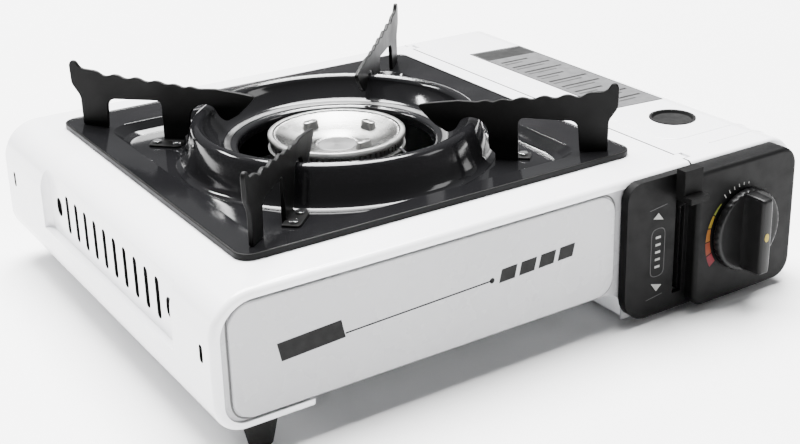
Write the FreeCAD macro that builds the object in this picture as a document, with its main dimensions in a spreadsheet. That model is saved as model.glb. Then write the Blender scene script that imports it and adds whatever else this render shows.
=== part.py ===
import FreeCAD, Part
import math
import os
import re

import Sketcher
from FreeCAD import Matrix, Placement, Rotation, Vector

# A single-burner table stove that burns gas from a cartridge lying in a side compartment.
# The frame is +X right, +Y back, +Z up, seen from the side with the knob.
# The origin is on the table, at the middle of the stove's length and depth.

SIZES = {
    "body_width": 340.0,
    "body_depth": 268.0,
    "knob_reach": 29.0,
    "deck_top": 79.0,
    "sheet": 1.2,
    "shell_floor": 15.0,
    "shell_end": 93.5,
    "top_bend": 20.0,
    "low_bend": 14.0,
    "edge_round": 3.0,
    "lip": 4.2,
    "flange_end": -124.0,
    "trough_left": 52.0,
    "trough_floor": 3.0,
    "trough_wall": 52.0,
    "trough_bend": 12.0,
    "pan_x": -33.0,
    "pan_y": 14.5,
    "pan_rim": 82.0,
    "pan_floor": 73.0,
    "pan_sheet": 1.2,
    "collar_radius": 72.2,
    "collar_top": 93.3,
    "pan_hole": 52.0,
    "deck_hole_half": 100.0,
    "horn_top": 117.0,
    "arm_sheet": 2.2,
    "vent_count": 10.0,
    "vent_pitch": 12.7,
    "vent_width": 4.4,
    "vent_low": 44.0,
    "vent_high": 64.5,
    "vent_end_radius": 3.6,
    "tab_slot_radius": 1.7,
    "vent_back": 58.1,
    "recess_deep": 4.0,
    "recess_front": -79.0,
    "recess_back": 87.0,
    "recess_low": 38.5,
    "panel_left": 48.0,
    "panel_low": 3.5,
    "panel_high": 77.6,
    "panel_step": 88.5,
    "panel_right": 159.0,
    "panel_thin": 5.0,
    "panel_thick": 12.0,
    "panel_wall": 2.5,
    "slot_left": 80.0,
    "slot_right": 86.0,
    "slot_low": 12.0,
    "slot_high": 71.5,
    "knob_x": 121.0,
    "knob_z": 40.5,
    "knob_radius": 22.0,
    "knob_disc": 4.0,
    "grip_width": 9.0,
    "spindle_radius": 3.0,
    "lever_y": -75.0,
    "lever_z": 41.0,
    "lever_pin_radius": 2.0,
    "lever_plate_left": 81.5,
    "lever_plate": 3.0,
    "hinge_x": 96.5,
    "hinge_z": 77.1,
    "hinge_pin_radius": 1.0,
    "hinge_leaf": 6.4,
    "knuckle_radius": 1.9,
    "lid_left": 94.5,
    "lid_sheet": 1.0,
    "lid_skirt": 53.0,
    "port_x": 133.5,
    "port_y": -64.0,
    "port_radius": 12.0,
    "can_x": 132.0,
    "can_z": 40.5,
    "can_radius": 34.0,
    "ring_radius": 36.2,
    "ring_top": 84.6,
    "foot_x": -145.4,
    "right_foot_x": 152.0,
    "foot_inset": 12.0,
    "foot_screw_radius": 1.5,
    "partition_x": 92.4,
    "running_gap": 0.05,
}

FRONT = "(knob_reach - body_depth) / 2"
REAR = "(knob_reach + body_depth) / 2"
LEFT = "-body_width / 2"
RIGHT = "body_width / 2"

doc = FreeCAD.newDocument("cassette_stove")
sheet = doc.addObject("Spreadsheet::Sheet", "dims")
for row, (alias, value) in enumerate(SIZES.items(), 1):
    sheet.set("A%d" % row, alias)
    sheet.set("B%d" % row, str(value))
    sheet.setAlias("B%d" % row, alias)
doc.recompute()

nodes = []


def size(alias):
    """The number that the sheet holds under this name."""
    return float(sheet.get(alias))


def bound(text):
    """An expression on the sheet, written with the bare names of its cells."""
    return re.sub(r"[a-z][a-z_]+", lambda word: "dims." + word.group(0), text)


def bind(item, prop, text):
    item.setExpression(prop, bound(text))


def keep(item, label):
    """Names a finished sub-part, which becomes a file of its own."""
    item.Label = label
    nodes.append(item)
    return item


# Sketch helpers

PLANES = {"x": "YZ_Plane", "y": "XZ_Plane", "z": "XY_Plane"}


def body(name):
    return doc.addObject("PartDesign::Body", name)


def sketch(owner, name, axis, offset):
    """A sketch square to an axis of the body, at a distance along that plane's normal."""
    plane = [item for item in owner.Origin.OriginFeatures if item.Role == PLANES[axis]][0]
    item = owner.newObject("Sketcher::SketchObject", name)
    item.AttachmentSupport = [(plane, "")]
    item.MapMode = "FlatFace"
    bind(item, "AttachmentOffset.Base.z", offset)
    return item


probe = doc.addObject("App::FeaturePython", "probe")
probe.addProperty("App::PropertyFloat", "Reading")


def measure(text):
    """The number that an expression on the sheet comes to."""
    bind(probe, "Reading", text)
    probe.recompute()
    return probe.Reading


def pin_point(item, geometry, place, across, up):
    """Fixes a point of a sketch at two expressions, measured from the sketch's origin."""
    for kind, text, own_axis in (("DistanceX", across, -2), ("DistanceY", up, -1)):
        if text == "0":
            item.addConstraint(Sketcher.Constraint("PointOnObject", geometry, place, own_axis))
            continue
        number = item.addConstraint(Sketcher.Constraint(kind, -1, 1, geometry, place, measure(text)))
        bind(item, "Constraints[%d]" % number, text)


def polygon(item, corners):
    """A closed outline of straight lines through corners given as expressions."""
    count = len(corners)
    ends = [Vector(measure(across), measure(up), 0) for across, up in corners]
    first = item.GeometryCount
    for i in range(count):
        item.addGeometry(Part.LineSegment(ends[i], ends[(i + 1) % count]), False)
    for i in range(count):
        item.addConstraint(Sketcher.Constraint("Coincident", first + i, 2, first + (i + 1) % count, 1))
    for i, (across, up) in enumerate(corners):
        pin_point(item, first + i, 1, across, up)


def rectangle(item, left, low, right, high):
    polygon(item, [(left, low), (right, low), (right, high), (left, high)])


def limit_radius(item, geometry, radius):
    number = item.addConstraint(Sketcher.Constraint("Radius", geometry, measure(radius)))
    bind(item, "Constraints[%d]" % number, radius)


def circle(item, across, up, radius):
    round_line = Part.Circle(Vector(measure(across), measure(up), 0), Vector(0, 0, 1), measure(radius))
    number = item.addGeometry(round_line, False)
    pin_point(item, number, 3, across, up)
    limit_radius(item, number, radius)


def arc(x, y, radius, start, end):
    """An arc between two angles given in quarter turns."""
    whole = Part.Circle(Vector(x, y, 0), Vector(0, 0, 1), radius)
    return Part.ArcOfCircle(whole, start * math.pi / 2, end * math.pi / 2)


def stadium(item, across, low, high, radius):
    """An upright slot with round ends."""
    x, y0, y1, r = (measure(text) for text in (across, low, high, radius))
    first = item.GeometryCount
    item.addGeometry([arc(x, y1 - r, r, 0, 2), arc(x, y0 + r, r, 2, 4),
                      Part.LineSegment(Vector(x - r, y1 - r, 0), Vector(x - r, y0 + r, 0)),
                      Part.LineSegment(Vector(x + r, y0 + r, 0), Vector(x + r, y1 - r, 0))], False)
    for one, one_end, two, two_end in ((0, 2, 2, 1), (2, 2, 1, 1), (1, 2, 3, 1), (3, 2, 0, 1)):
        item.addConstraint(Sketcher.Constraint("Tangent", first + one, one_end, first + two, two_end))
    pin_point(item, first, 3, across, "(%s) - (%s)" % (high, radius))
    pin_point(item, first + 1, 3, across, "(%s) + (%s)" % (low, radius))
    limit_radius(item, first, radius)


def wrap(item, left, low, right, high, high_bend, low_bend):
    """A rectangle whose two left corners are round."""
    x0, y0, x1, y1 = (measure(text) for text in (left, low, right, high))
    top, foot = measure(high_bend), measure(low_bend)
    first = item.GeometryCount
    item.addGeometry([
        Part.LineSegment(Vector(x0 + foot, y0, 0), Vector(x1, y0, 0)),
        Part.LineSegment(Vector(x1, y0, 0), Vector(x1, y1, 0)),
        Part.LineSegment(Vector(x1, y1, 0), Vector(x0 + top, y1, 0)),
        Part.LineSegment(Vector(x0, y1 - top, 0), Vector(x0, y0 + foot, 0)),
        arc(x0 + top, y1 - top, top, 1, 2),
        arc(x0 + foot, y0 + foot, foot, 2, 3),
    ], False)
    for one, two in ((0, 1), (1, 2)):
        item.addConstraint(Sketcher.Constraint("Coincident", first + one, 2, first + two, 1))
    for one, one_end, two, two_end in ((2, 2, 4, 1), (4, 2, 3, 1), (3, 2, 5, 1), (5, 2, 0, 1)):
        item.addConstraint(Sketcher.Constraint("Tangent", first + one, one_end, first + two, two_end))
    pin_point(item, first + 1, 1, right, low)
    pin_point(item, first + 1, 2, right, high)
    pin_point(item, first + 4, 3, "(%s) + (%s)" % (left, high_bend), "(%s) - (%s)" % (high, high_bend))
    pin_point(item, first + 5, 3, "(%s) + (%s)" % (left, low_bend), "(%s) + (%s)" % (low, low_bend))


def wrap_right(item, left, low, right, high, bend):
    """A rectangle whose upper right corner is round."""
    x0, y0, x1, y1, top = (measure(text) for text in (left, low, right, high, bend))
    first = item.GeometryCount
    item.addGeometry([
        Part.LineSegment(Vector(x0, y1, 0), Vector(x0, y0, 0)),
        Part.LineSegment(Vector(x0, y0, 0), Vector(x1, y0, 0)),
        Part.LineSegment(Vector(x1, y0, 0), Vector(x1, y1 - top, 0)),
        arc(x1 - top, y1 - top, top, 0, 1),
        Part.LineSegment(Vector(x1 - top, y1, 0), Vector(x0, y1, 0)),
    ], False)
    for one, two in ((0, 1), (1, 2), (4, 0)):
        item.addConstraint(Sketcher.Constraint("Coincident", first + one, 2, first + two, 1))
    for one, one_end, two, two_end in ((2, 2, 3, 1), (3, 2, 4, 1)):
        item.addConstraint(Sketcher.Constraint("Tangent", first + one, one_end, first + two, two_end))
    pin_point(item, first + 1, 1, left, low)
    pin_point(item, first + 1, 2, right, low)
    pin_point(item, first, 1, left, high)
    pin_point(item, first + 3, 3, "(%s) - (%s)" % (right, bend), "(%s) - (%s)" % (high, bend))


def rounded(item, left, low, right, high, bend):
    """A rectangle with four round corners."""
    x0, y0, x1, y1, r = (measure(text) for text in (left, low, right, high, bend))
    first = item.GeometryCount
    corners = ((x1 - r, y1 - r), (x0 + r, y1 - r), (x0 + r, y0 + r), (x1 - r, y0 + r))
    sides = (((x1 - r, y1), (x0 + r, y1)), ((x0, y1 - r), (x0, y0 + r)), ((x0 + r, y0), (x1 - r, y0)),
             ((x1, y0 + r), (x1, y1 - r)))
    for turn, ((x, y), (one, two)) in enumerate(zip(corners, sides)):
        item.addGeometry(arc(x, y, r, turn, turn + 1), False)
        item.addGeometry(Part.LineSegment(Vector(*one, 0), Vector(*two, 0)), False)
    for number in range(8):
        after = first + (number + 1) % 8
        item.addConstraint(Sketcher.Constraint("Tangent", first + number, 2, after, 1))
    across = ("(%s) - (%s)" % (right, bend), "(%s) + (%s)" % (left, bend))
    up = ("(%s) - (%s)" % (high, bend), "(%s) + (%s)" % (low, bend))
    for turn, (i, j) in enumerate(((0, 0), (1, 0), (1, 1), (0, 1))):
        pin_point(item, first + 2 * turn, 3, across[i], up[j])
    limit_radius(item, first, bend)


def extrude(owner, kind, name, axis, start, end, draw):
    """A pad or pocket between two places on an axis, with the outline that draw makes."""
    before = owner.Shape.Volume if owner.Tip else 0.0
    offset = "-(%s)" % end if axis == "y" else start
    outline = sketch(owner, name + "_outline", axis, offset)
    draw(outline)
    feature = owner.newObject("PartDesign::" + kind, name)
    feature.Profile = outline
    bind(feature, "Length", "(%s) - (%s)" % (end, start))
    feature.Reversed = kind == "Pocket"
    doc.recompute()
    change = owner.Shape.Volume - before
    if (change >= -1e-6) if kind == "Pocket" else (change <= 1e-6):
        raise RuntimeError("%s changes nothing: %g" % (name, change))
    return feature


def revolve(owner, name, corners):
    """A solid of revolution about the body's own upright axis."""
    outline = sketch(owner, name + "_outline", "y", "0")
    polygon(outline, corners)
    feature = owner.newObject("PartDesign::Revolution", name)
    feature.Profile = outline
    feature.ReferenceAxis = (outline, ["V_Axis"])
    feature.Angle = 360.0
    doc.recompute()
    return feature


def soften(owner, name, radius, wanted, kind="Fillet"):
    """Rounds or bevels the edges that wanted picks."""
    tip = owner.Tip
    names = ["Edge%d" % (i + 1) for i, edge in enumerate(tip.Shape.Edges) if wanted(edge)]
    if not names:
        raise RuntimeError("%s finds no edge" % name)
    feature = owner.newObject("PartDesign::" + kind, name)
    feature.Base = (tip, names)
    bind(feature, "Radius" if kind == "Fillet" else "Size", radius)
    doc.recompute()
    if feature.Shape.isNull() or "Invalid" in feature.State:
        raise RuntimeError("%s fails on %d edges: %s" % (name, len(names), feature.State))
    return feature


def repeat(owner, name, feature, axis, length, count):
    """A straight row of a feature."""
    pattern = owner.newObject("PartDesign::LinearPattern", name)
    pattern.Originals = [feature]
    line = [item for item in owner.Origin.OriginFeatures if item.Role == axis.upper() + "_Axis"][0]
    pattern.Direction = (line, [""])
    bind(pattern, "Length", length)
    bind(pattern, "Occurrences", count)
    owner.Tip = pattern
    doc.recompute()
    return pattern


def around(owner, name, feature, count):
    """A ring of a feature about the body's own upright axis."""
    pattern = owner.newObject("PartDesign::PolarPattern", name)
    pattern.Originals = [feature]
    line = [item for item in owner.Origin.OriginFeatures if item.Role == "Z_Axis"][0]
    pattern.Axis = (line, [""])
    pattern.Angle = 360
    pattern.Occurrences = count
    owner.Tip = pattern
    doc.recompute()
    return pattern


def along(edge, axis):
    """True for a straight edge that runs along one axis."""
    box = edge.BoundBox
    spans = {"x": box.XLength, "y": box.YLength, "z": box.ZLength}
    own = spans.pop(axis)
    return own > 0.01 and max(spans.values()) < 1e-4


def near(value, target):
    return abs(value - target) < 0.02


def edge_at(axis, **places):
    """Picks straight edges along an axis whose other coordinates are near the given ones."""
    def wanted(edge):
        if not along(edge, axis):
            return False
        middle = edge.BoundBox.Center
        return all(near(getattr(middle, key), value) for key, value in places.items())
    return wanted


def rim_at(axis, place):
    """Picks every edge that lies in one plane square to an axis."""
    def wanted(edge):
        box = edge.BoundBox
        low, high = {"x": (box.XMin, box.XMax), "y": (box.YMin, box.YMax), "z": (box.ZMin, box.ZMax)}[axis]
        return near(low, place) and near(high, place)
    return wanted


def both(*tests):
    return lambda edge: all(test(edge) for test in tests)


# Part helpers

def move(item, x, y, z):
    for key, text in zip("xyz", (x, y, z)):
        bind(item, "Placement.Base." + key, text)
    return item


def block(name, x, y, z, long, wide, high):
    item = doc.addObject("Part::Box", name)
    for prop, text in (("Length", long), ("Width", wide), ("Height", high)):
        bind(item, prop, text)
    return move(item, x, y, z)


TURNS = {"x": Rotation(Vector(0, 1, 0), 90), "y": Rotation(Vector(1, 0, 0), -90), "z": Rotation()}


def rod(name, axis, x, y, z, radius, length):
    """A cylinder from a point, along +X, +Y or +Z."""
    item = doc.addObject("Part::Cylinder", name)
    bind(item, "Radius", radius)
    bind(item, "Height", length)
    item.Placement = Placement(Vector(), TURNS[axis])
    return move(item, x, y, z)


def cut(name, base, tool):
    item = doc.addObject("Part::Cut", name)
    item.Base = base
    item.Tool = tool
    return item


def fuse(name, items):
    item = doc.addObject("Part::MultiFuse", name)
    item.Shapes = items
    item.Refine = True
    return item


def group(name, items):
    """Several like solids in one sub-part."""
    item = doc.addObject("Part::Compound", name)
    item.Links = items
    return item


def made(name, shape, place=None):
    """A sub-part whose shape is worked out in code from the sheet."""
    item = doc.addObject("Part::Feature", name)
    item.Shape = shape
    item.Placement = place or Placement()
    return item


# Casing

def outside_bend(item):
    """The corner outside the shell's upper bend."""
    x0, y1, r = (measure(text) for text in (LEFT, "deck_top", "top_bend"))
    first = item.GeometryCount
    item.addGeometry([arc(x0 + r, y1 - r, r, 1, 2),
                      Part.LineSegment(Vector(x0, y1 - r, 0), Vector(x0 - 4, y1 - r, 0)),
                      Part.LineSegment(Vector(x0 - 4, y1 - r, 0), Vector(x0 - 4, y1 + 4, 0)),
                      Part.LineSegment(Vector(x0 - 4, y1 + 4, 0), Vector(x0 + r, y1 + 4, 0)),
                      Part.LineSegment(Vector(x0 + r, y1 + 4, 0), Vector(x0 + r, y1, 0))], False)
    for one, one_end, two, two_end in ((0, 2, 1, 1), (1, 2, 2, 1), (2, 2, 3, 1), (3, 2, 4, 1), (4, 2, 0, 1)):
        item.addConstraint(Sketcher.Constraint("Coincident", first + one, one_end, first + two, two_end))
    pin_point(item, first, 3, LEFT + " + top_bend", "deck_top - top_bend")
    pin_point(item, first + 1, 1, LEFT, "deck_top - top_bend")
    pin_point(item, first + 2, 1, LEFT + " - 4", "deck_top - top_bend")
    pin_point(item, first + 3, 1, LEFT + " - 4", "deck_top + 4")
    pin_point(item, first + 4, 1, LEFT + " + top_bend", "deck_top + 4")
    item.addConstraint(Sketcher.Constraint("Vertical", first + 4))


def body_shell():
    """The wrapped steel casing: deck, left wall and turned-in floor flange, with lips at both ends."""
    owner = body("body_shell")
    left = -size("body_width") / 2
    front = (size("knob_reach") - size("body_depth")) / 2
    rear = front + size("body_depth")
    extrude(owner, "Pad", "shell_solid", "y", FRONT, REAR,
            lambda s: wrap(s, LEFT, "shell_floor", "shell_end", "deck_top", "top_bend", "low_bend"))
    inner = lambda edge: edge.BoundBox.XMin < size("shell_end") - 0.1
    soften(owner, "shell_end_rounds", "edge_round",
           lambda edge: inner(edge) and (rim_at("y", front)(edge) or rim_at("y", rear)(edge)))
    extrude(owner, "Pocket", "shell_cavity", "y", FRONT + " + sheet", REAR + " - sheet",
            lambda s: wrap(s, LEFT + " + sheet", "shell_floor + sheet", "shell_end + 5",
                           "deck_top - sheet", "top_bend - sheet", "low_bend - sheet"))
    mouth = lambda s: wrap(s, LEFT + " + lip", "shell_floor + lip", "shell_end + 5", "deck_top - lip",
                           "top_bend - lip", "low_bend - lip")
    extrude(owner, "Pocket", "front_mouth", "y", FRONT + " - 1", FRONT + " + sheet + 1", mouth)
    extrude(owner, "Pocket", "rear_mouth", "y", REAR + " - sheet - 1", REAR + " + 1", mouth)
    extrude(owner, "Pocket", "floor_opening", "y", FRONT + " - 1", REAR + " + 1",
            lambda s: rectangle(s, "flange_end", "shell_floor - 1", "shell_end + 5", "shell_floor + lip"))

    extrude(owner, "Pad", "recess_backing", "x", LEFT + " + 0.6", LEFT + " + recess_deep + sheet",
            lambda s: rectangle(s, "recess_front - sheet", "recess_low - sheet", "recess_back + sheet",
                                "deck_top - 7.2"))
    extrude(owner, "Pocket", "recess_top_trim", "y", "recess_front - 2", "recess_back + 2", outside_bend)
    extrude(owner, "Pocket", "vent_recess", "x", LEFT + " - 1", LEFT + " + recess_deep",
            lambda s: rectangle(s, "recess_front", "recess_low", "recess_back", "deck_top - 7.7"))
    deep = left + size("recess_deep")
    soften(owner, "recess_end_slopes", "recess_deep - 0.4",
           lambda edge: any(edge_at("z", x=deep, y=size(end))(edge) for end in ("recess_front", "recess_back")))
    vent = extrude(owner, "Pocket", "vent", "x", LEFT + " - 1", LEFT + " + recess_deep + 3",
                   lambda s: stadium(s, "vent_back - vent_pitch * (vent_count - 1)", "vent_low",
                                     "vent_high", "vent_width / 2"))
    repeat(owner, "vent_row", vent, "y", "vent_pitch * (vent_count - 1)", "vent_count")
    for name, y in (("vent_end_back", "vent_back + vent_pitch"),
                    ("vent_end_front", "vent_back - vent_pitch * vent_count")):
        extrude(owner, "Pocket", name, "x", LEFT + " - 1", LEFT + " + recess_deep + 3",
                lambda s: stadium(s, y, "vent_low + 5.5", "vent_high - 5", "vent_end_radius"))
    for name, y in (("tab_slot_back", REAR + " - 16"), ("tab_slot_front", FRONT + " + 10.5")):
        extrude(owner, "Pocket", name, "x", LEFT + " - 1", LEFT + " + sheet + 1",
                lambda s: stadium(s, y, "47", "55.5", "tab_slot_radius"))

    def feet_holes(outline):
        circle(outline, "foot_x", FRONT + " + foot_inset", "foot_screw_radius + 0.1")
        circle(outline, "foot_x", REAR + " - foot_inset", "foot_screw_radius + 0.1")
    extrude(owner, "Pocket", "feet_holes", "z", "shell_floor - 1", "shell_floor + sheet + 1", feet_holes)
    extrude(owner, "Pocket", "deck_hole", "z", "deck_top - sheet - 1", "deck_top + 1",
            lambda s: rectangle(s, "pan_x - deck_hole_half", "pan_y - deck_hole_half",
                                "pan_x + deck_hole_half", "pan_y + deck_hole_half"))
    half = size("deck_hole_half")
    corner = lambda edge: (along(edge, "z") and near(abs(edge.BoundBox.XMin - size("pan_x")), half)
                           and near(abs(edge.BoundBox.YMin - size("pan_y")), half))
    soften(owner, "deck_hole_corners", "10", corner)
    for name, start in (("front", HINGE_FRONT), ("rear", HINGE_REAR)):
        end = start + " + hinge_leaf"
        extrude(owner, "Pad", "hinge_ear_" + name, "y", start, end,
                lambda s: rectangle(s, "shell_end - 0.5", "deck_top - sheet", "hinge_x", "deck_top"))
        extrude(owner, "Pad", "hinge_knuckle_" + name, "y", start, end,
                lambda s: circle(s, "hinge_x", "hinge_z", "knuckle_radius"))
        extrude(owner, "Pocket", "hinge_bore_" + name, "y", start + " - 0.5", end + " + 0.5",
                lambda s: circle(s, "hinge_x", "hinge_z", "hinge_pin_radius"))
    return keep(owner, "body_shell")


def end_plate_outline(item, left, low, right, high):
    """The face of an end wall: shallow behind the burner, deeper below the cartridge."""
    polygon(item, [(left, low), ("41", low), ("46", low + " - 1.2"), ("49.6", low + " - 4"),
                   ("51.5", low + " - 8.2"), ("trough_left", "trough_floor"),
                   (right, "trough_floor"), (right, high + " - 4.5"), ("shell_end - 0.5", high + " - 4.5"),
                   ("shell_end - 0.5", high), (left, high)])


def end_plate(label, near_face, far_face):
    """The flat sheet of an end wall, inside the lips of the casing."""
    owner = body(label)
    extrude(owner, "Pad", label + "_sheet", "y", near_face, far_face,
            lambda s: end_plate_outline(s, LEFT + " + sheet + 1", "shell_floor + 4.5", RIGHT + " - 2",
                                        "deck_top - sheet"))
    left = -size("body_width") / 2 + size("sheet") + 1
    soften(owner, label + "_low_corner", "low_bend - 4", edge_at("y", x=left, z=size("shell_floor") + 4.5))
    soften(owner, label + "_top_corner", "top_bend - 2", edge_at("y", x=left, z=size("deck_top") - 1.2))
    right = size("body_width") / 2 - 2
    soften(owner, label + "_right_corner", "10", edge_at("y", x=right, z=3))
    soften(owner, label + "_lid_corner", "14", edge_at("y", x=right, z=size("deck_top") - 1.2 - 4.5))
    return owner


def front_plate():
    owner = end_plate("front_plate", FRONT + " + sheet", FRONT + " + 2 * sheet")
    front = (size("knob_reach") - size("body_depth")) / 2
    extrude(owner, "Pad", "front_boss", "y", FRONT + " - 0.4", FRONT + " + 2 * sheet - 0.1",
            lambda s: rounded(s, LEFT + " + 8", "shell_floor + 5.5", "44.5", "deck_top - 5.2", "10"))
    soften(owner, "boss_edge", "0.9", rim_at("y", front - 0.4))
    extrude(owner, "Pocket", "boss_hollow", "y", FRONT + " + sheet", FRONT + " + 2 * sheet + 1",
            lambda s: rounded(s, LEFT + " + 12", "shell_floor + 9.5", "40.5", "deck_top - 9.2", "7"))
    extrude(owner, "Pocket", "lever_slot", "y", FRONT, FRONT + " + 3 * sheet",
            lambda s: rectangle(s, "slot_left - 0.5", "slot_low", "slot_right + 0.5", "slot_high + 1"))
    extrude(owner, "Pocket", "spindle_window", "y", FRONT, FRONT + " + 3 * sheet",
            lambda s: circle(s, "knob_x", "knob_z", "14"))
    def screw_holes(outline):
        for x, z in PANEL_SCREWS:
            circle(outline, x, z, "1.6")
    extrude(owner, "Pocket", "panel_screw_holes", "y", FRONT, FRONT + " + 3 * sheet", screw_holes)
    return keep(owner, "front_plate")


def rear_plate():
    owner = end_plate("rear_plate", REAR + " - 2 * sheet", REAR + " - sheet")
    for number, low in enumerate(("32", "52")):
        vent = extrude(owner, "Pocket", "rear_vent_%d" % number, "y", REAR + " - 3 * sheet", REAR,
                       lambda s: stadium(s, "-130", low, low + " + 13", "1.6"))
        repeat(owner, "rear_vent_row_%d" % number, vent, "x", "190", "20")
    vent = extrude(owner, "Pocket", "cartridge_vent", "y", REAR + " - 3 * sheet", REAR,
                   lambda s: stadium(s, "102", "14", "34", "2"))
    repeat(owner, "cartridge_vent_row", vent, "x", "50", "6")
    return keep(owner, "rear_plate")


def base_plate():
    """The floor between the shell's flange and the cartridge trough."""
    high = "shell_floor + 7"
    run = FRONT + " + 2 * sheet"
    deep = "body_depth - 4 * sheet"
    floor = block("floor_sheet", "flange_end - 2 * sheet", run, high + " - sheet",
                  "trough_left - flange_end + 2 * sheet", deep, "sheet")
    flange = block("floor_flange", "flange_end - 2 * sheet", run, "shell_floor + sheet", "sheet", deep,
                   "7 - sheet")
    joined = fuse("floor_folded", [floor, flange])
    slots = [block("floor_vent_%d" % i, "-96 + %d * 22" % i, run + " + 40", high + " - 3", "5", "150", "6")
             for i in range(6) if i not in (2, 3)]
    return keep(cut("base_plate", joined, group("floor_vents", slots)), "base_plate")


def compartment_trough():
    owner = body("compartment_trough")
    outline = [("trough_left", "shell_floor + 7"), ("trough_left", "trough_floor"),
               (RIGHT + " - 2", "trough_floor"),
               (RIGHT + " - 2", "trough_wall"), (RIGHT + " - 2 - sheet", "trough_wall"),
               (RIGHT + " - 2 - sheet", "trough_floor + sheet"),
               ("trough_left + sheet", "trough_floor + sheet"), ("trough_left + sheet", "shell_floor + 7")]
    extrude(owner, "Pad", "trough_fold", "y", FRONT + " + 2 * sheet", REAR + " - 2 * sheet",
            lambda s: polygon(s, outline))
    right = size("body_width") / 2 - 2
    skin = size("sheet")
    for name, bend, x, z in (("trough_bend_out", "trough_bend", right, 3.0),
                             ("trough_bend_in", "trough_bend - sheet", right - skin, 3.0 + skin),
                             ("trough_left_out", "3", 52.0, 3.0),
                             ("trough_left_in", "3 - sheet", 52.0 + skin, 3.0 + skin)):
        soften(owner, name, bend, edge_at("y", x=x, z=z))
    def feet_holes(item):
        circle(item, "right_foot_x", FRONT + " + foot_inset", "foot_screw_radius + 0.1")
        circle(item, "right_foot_x", REAR + " - foot_inset", "foot_screw_radius + 0.1")
    extrude(owner, "Pocket", "trough_feet_holes", "z", "0", "10", feet_holes)
    vent = extrude(owner, "Pocket", "trough_vent", "z", "0", "10",
                   lambda s: rectangle(s, "118", "-10", "146", "-6"))
    repeat(owner, "trough_vent_row", vent, "y", "98", "8")
    return keep(owner, "compartment_trough")


def heat_partition():
    """The screen between the burner and the cartridge, with its foot flange."""
    web = block("partition_web", "partition_x", "-50", "trough_floor + sheet", "1",
                REAR + " - 2 * sheet + 50",
                "deck_top - trough_floor - 2 * sheet")
    flange = block("partition_flange", "partition_x - 12", "-50", "trough_floor + sheet", "12",
                   REAR + " - 2 * sheet + 50", "1")
    joined = fuse("partition_folded", [web, flange])
    slots = [block("partition_vent_%d" % i, "partition_x - 2", "-30 + %d * 26" % i, "22", "6", "14", "4")
             for i in range(6)]
    return keep(cut("heat_partition", joined, group("partition_vents", slots)), "heat_partition")


def cartridge_cradle():
    """Two saddles on a strip, on which the cartridge lies."""
    ribs = [block("cradle_rib_%d" % i, "100", y, "trough_floor + sheet", "56", "8", "17")
            for i, y in enumerate(("-30", "100"))]
    strip = block("cradle_strip", "126", "-30", "trough_floor + sheet", "12", "138", "1.2")
    joined = fuse("cradle_blank", ribs + [strip])
    room = rod("cradle_room", "y", "can_x", "-60", "can_z", "can_radius + 0.6", "200")
    return keep(cut("cartridge_cradle", joined, room), "cartridge_cradle")


def control_panel():
    """The moulded facia: a thin part on the left and a deeper part that carries the knob."""
    owner = body("control_panel")
    front = (size("knob_reach") - size("body_depth")) / 2
    extrude(owner, "Pad", "facia_thin", "y", FRONT + " - panel_thin", FRONT,
            lambda s: rectangle(s, "panel_left", "panel_low", "panel_right", "panel_high"))
    extrude(owner, "Pad", "facia_thick", "y", FRONT + " - panel_thick", FRONT,
            lambda s: rectangle(s, "panel_step", "panel_low", "panel_right", "panel_high"))
    left = size("panel_left")
    right = size("panel_right")
    low = size("panel_low")
    high = size("panel_high")
    soften(owner, "facia_low_left", "14", edge_at("y", x=left, z=low))
    soften(owner, "facia_high_left", "9", edge_at("y", x=left, z=high))
    soften(owner, "facia_right_corners", "11",
           lambda edge: edge_at("y", x=right, z=low)(edge) or edge_at("y", x=right, z=high)(edge))
    soften(owner, "facia_step_foot", "7", edge_at("y", x=size("panel_step"), z=low))
    soften(owner, "facia_face_edge", "2.2", rim_at("y", front - size("panel_thick")))
    extrude(owner, "Pocket", "facia_hollow_thin", "y", FRONT + " - panel_thin + panel_wall", FRONT + " + 1",
            lambda s: rectangle(s, "panel_left + 5", "panel_low + 5", "panel_right - 5", "panel_high - 4"))
    extrude(owner, "Pocket", "facia_hollow_thick", "y", FRONT + " - panel_thick + panel_wall",
            FRONT + " + 1",
            lambda s: rectangle(s, "panel_step + 4.5", "panel_low + 6", "panel_right - 5", "panel_high - 5"))
    extrude(owner, "Pocket", "facia_slot", "y", FRONT + " - panel_thick - 1", FRONT + " + 1",
            lambda s: rectangle(s, "slot_left", "slot_low", "slot_right", "slot_high"))
    extrude(owner, "Pocket", "facia_bore", "y", FRONT + " - panel_thick - 1", FRONT + " + 1",
            lambda s: circle(s, "knob_x", "knob_z", "spindle_radius + 1"))
    for number, (x, z) in enumerate(PANEL_SCREWS):
        deep = "panel_thin" if number < 2 else "panel_thick"
        extrude(owner, "Pad", "facia_post_%d" % number, "y",
                FRONT + " - %s + panel_wall - 0.5" % deep, FRONT + " + sheet",
                lambda s: circle(s, x, z, "3"))
        extrude(owner, "Pocket", "facia_post_bore_%d" % number, "y", FRONT + " - 2", FRONT + " + sheet + 1",
                lambda s: circle(s, x, z, "1.4"))
    return keep(owner, "control_panel")


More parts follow.
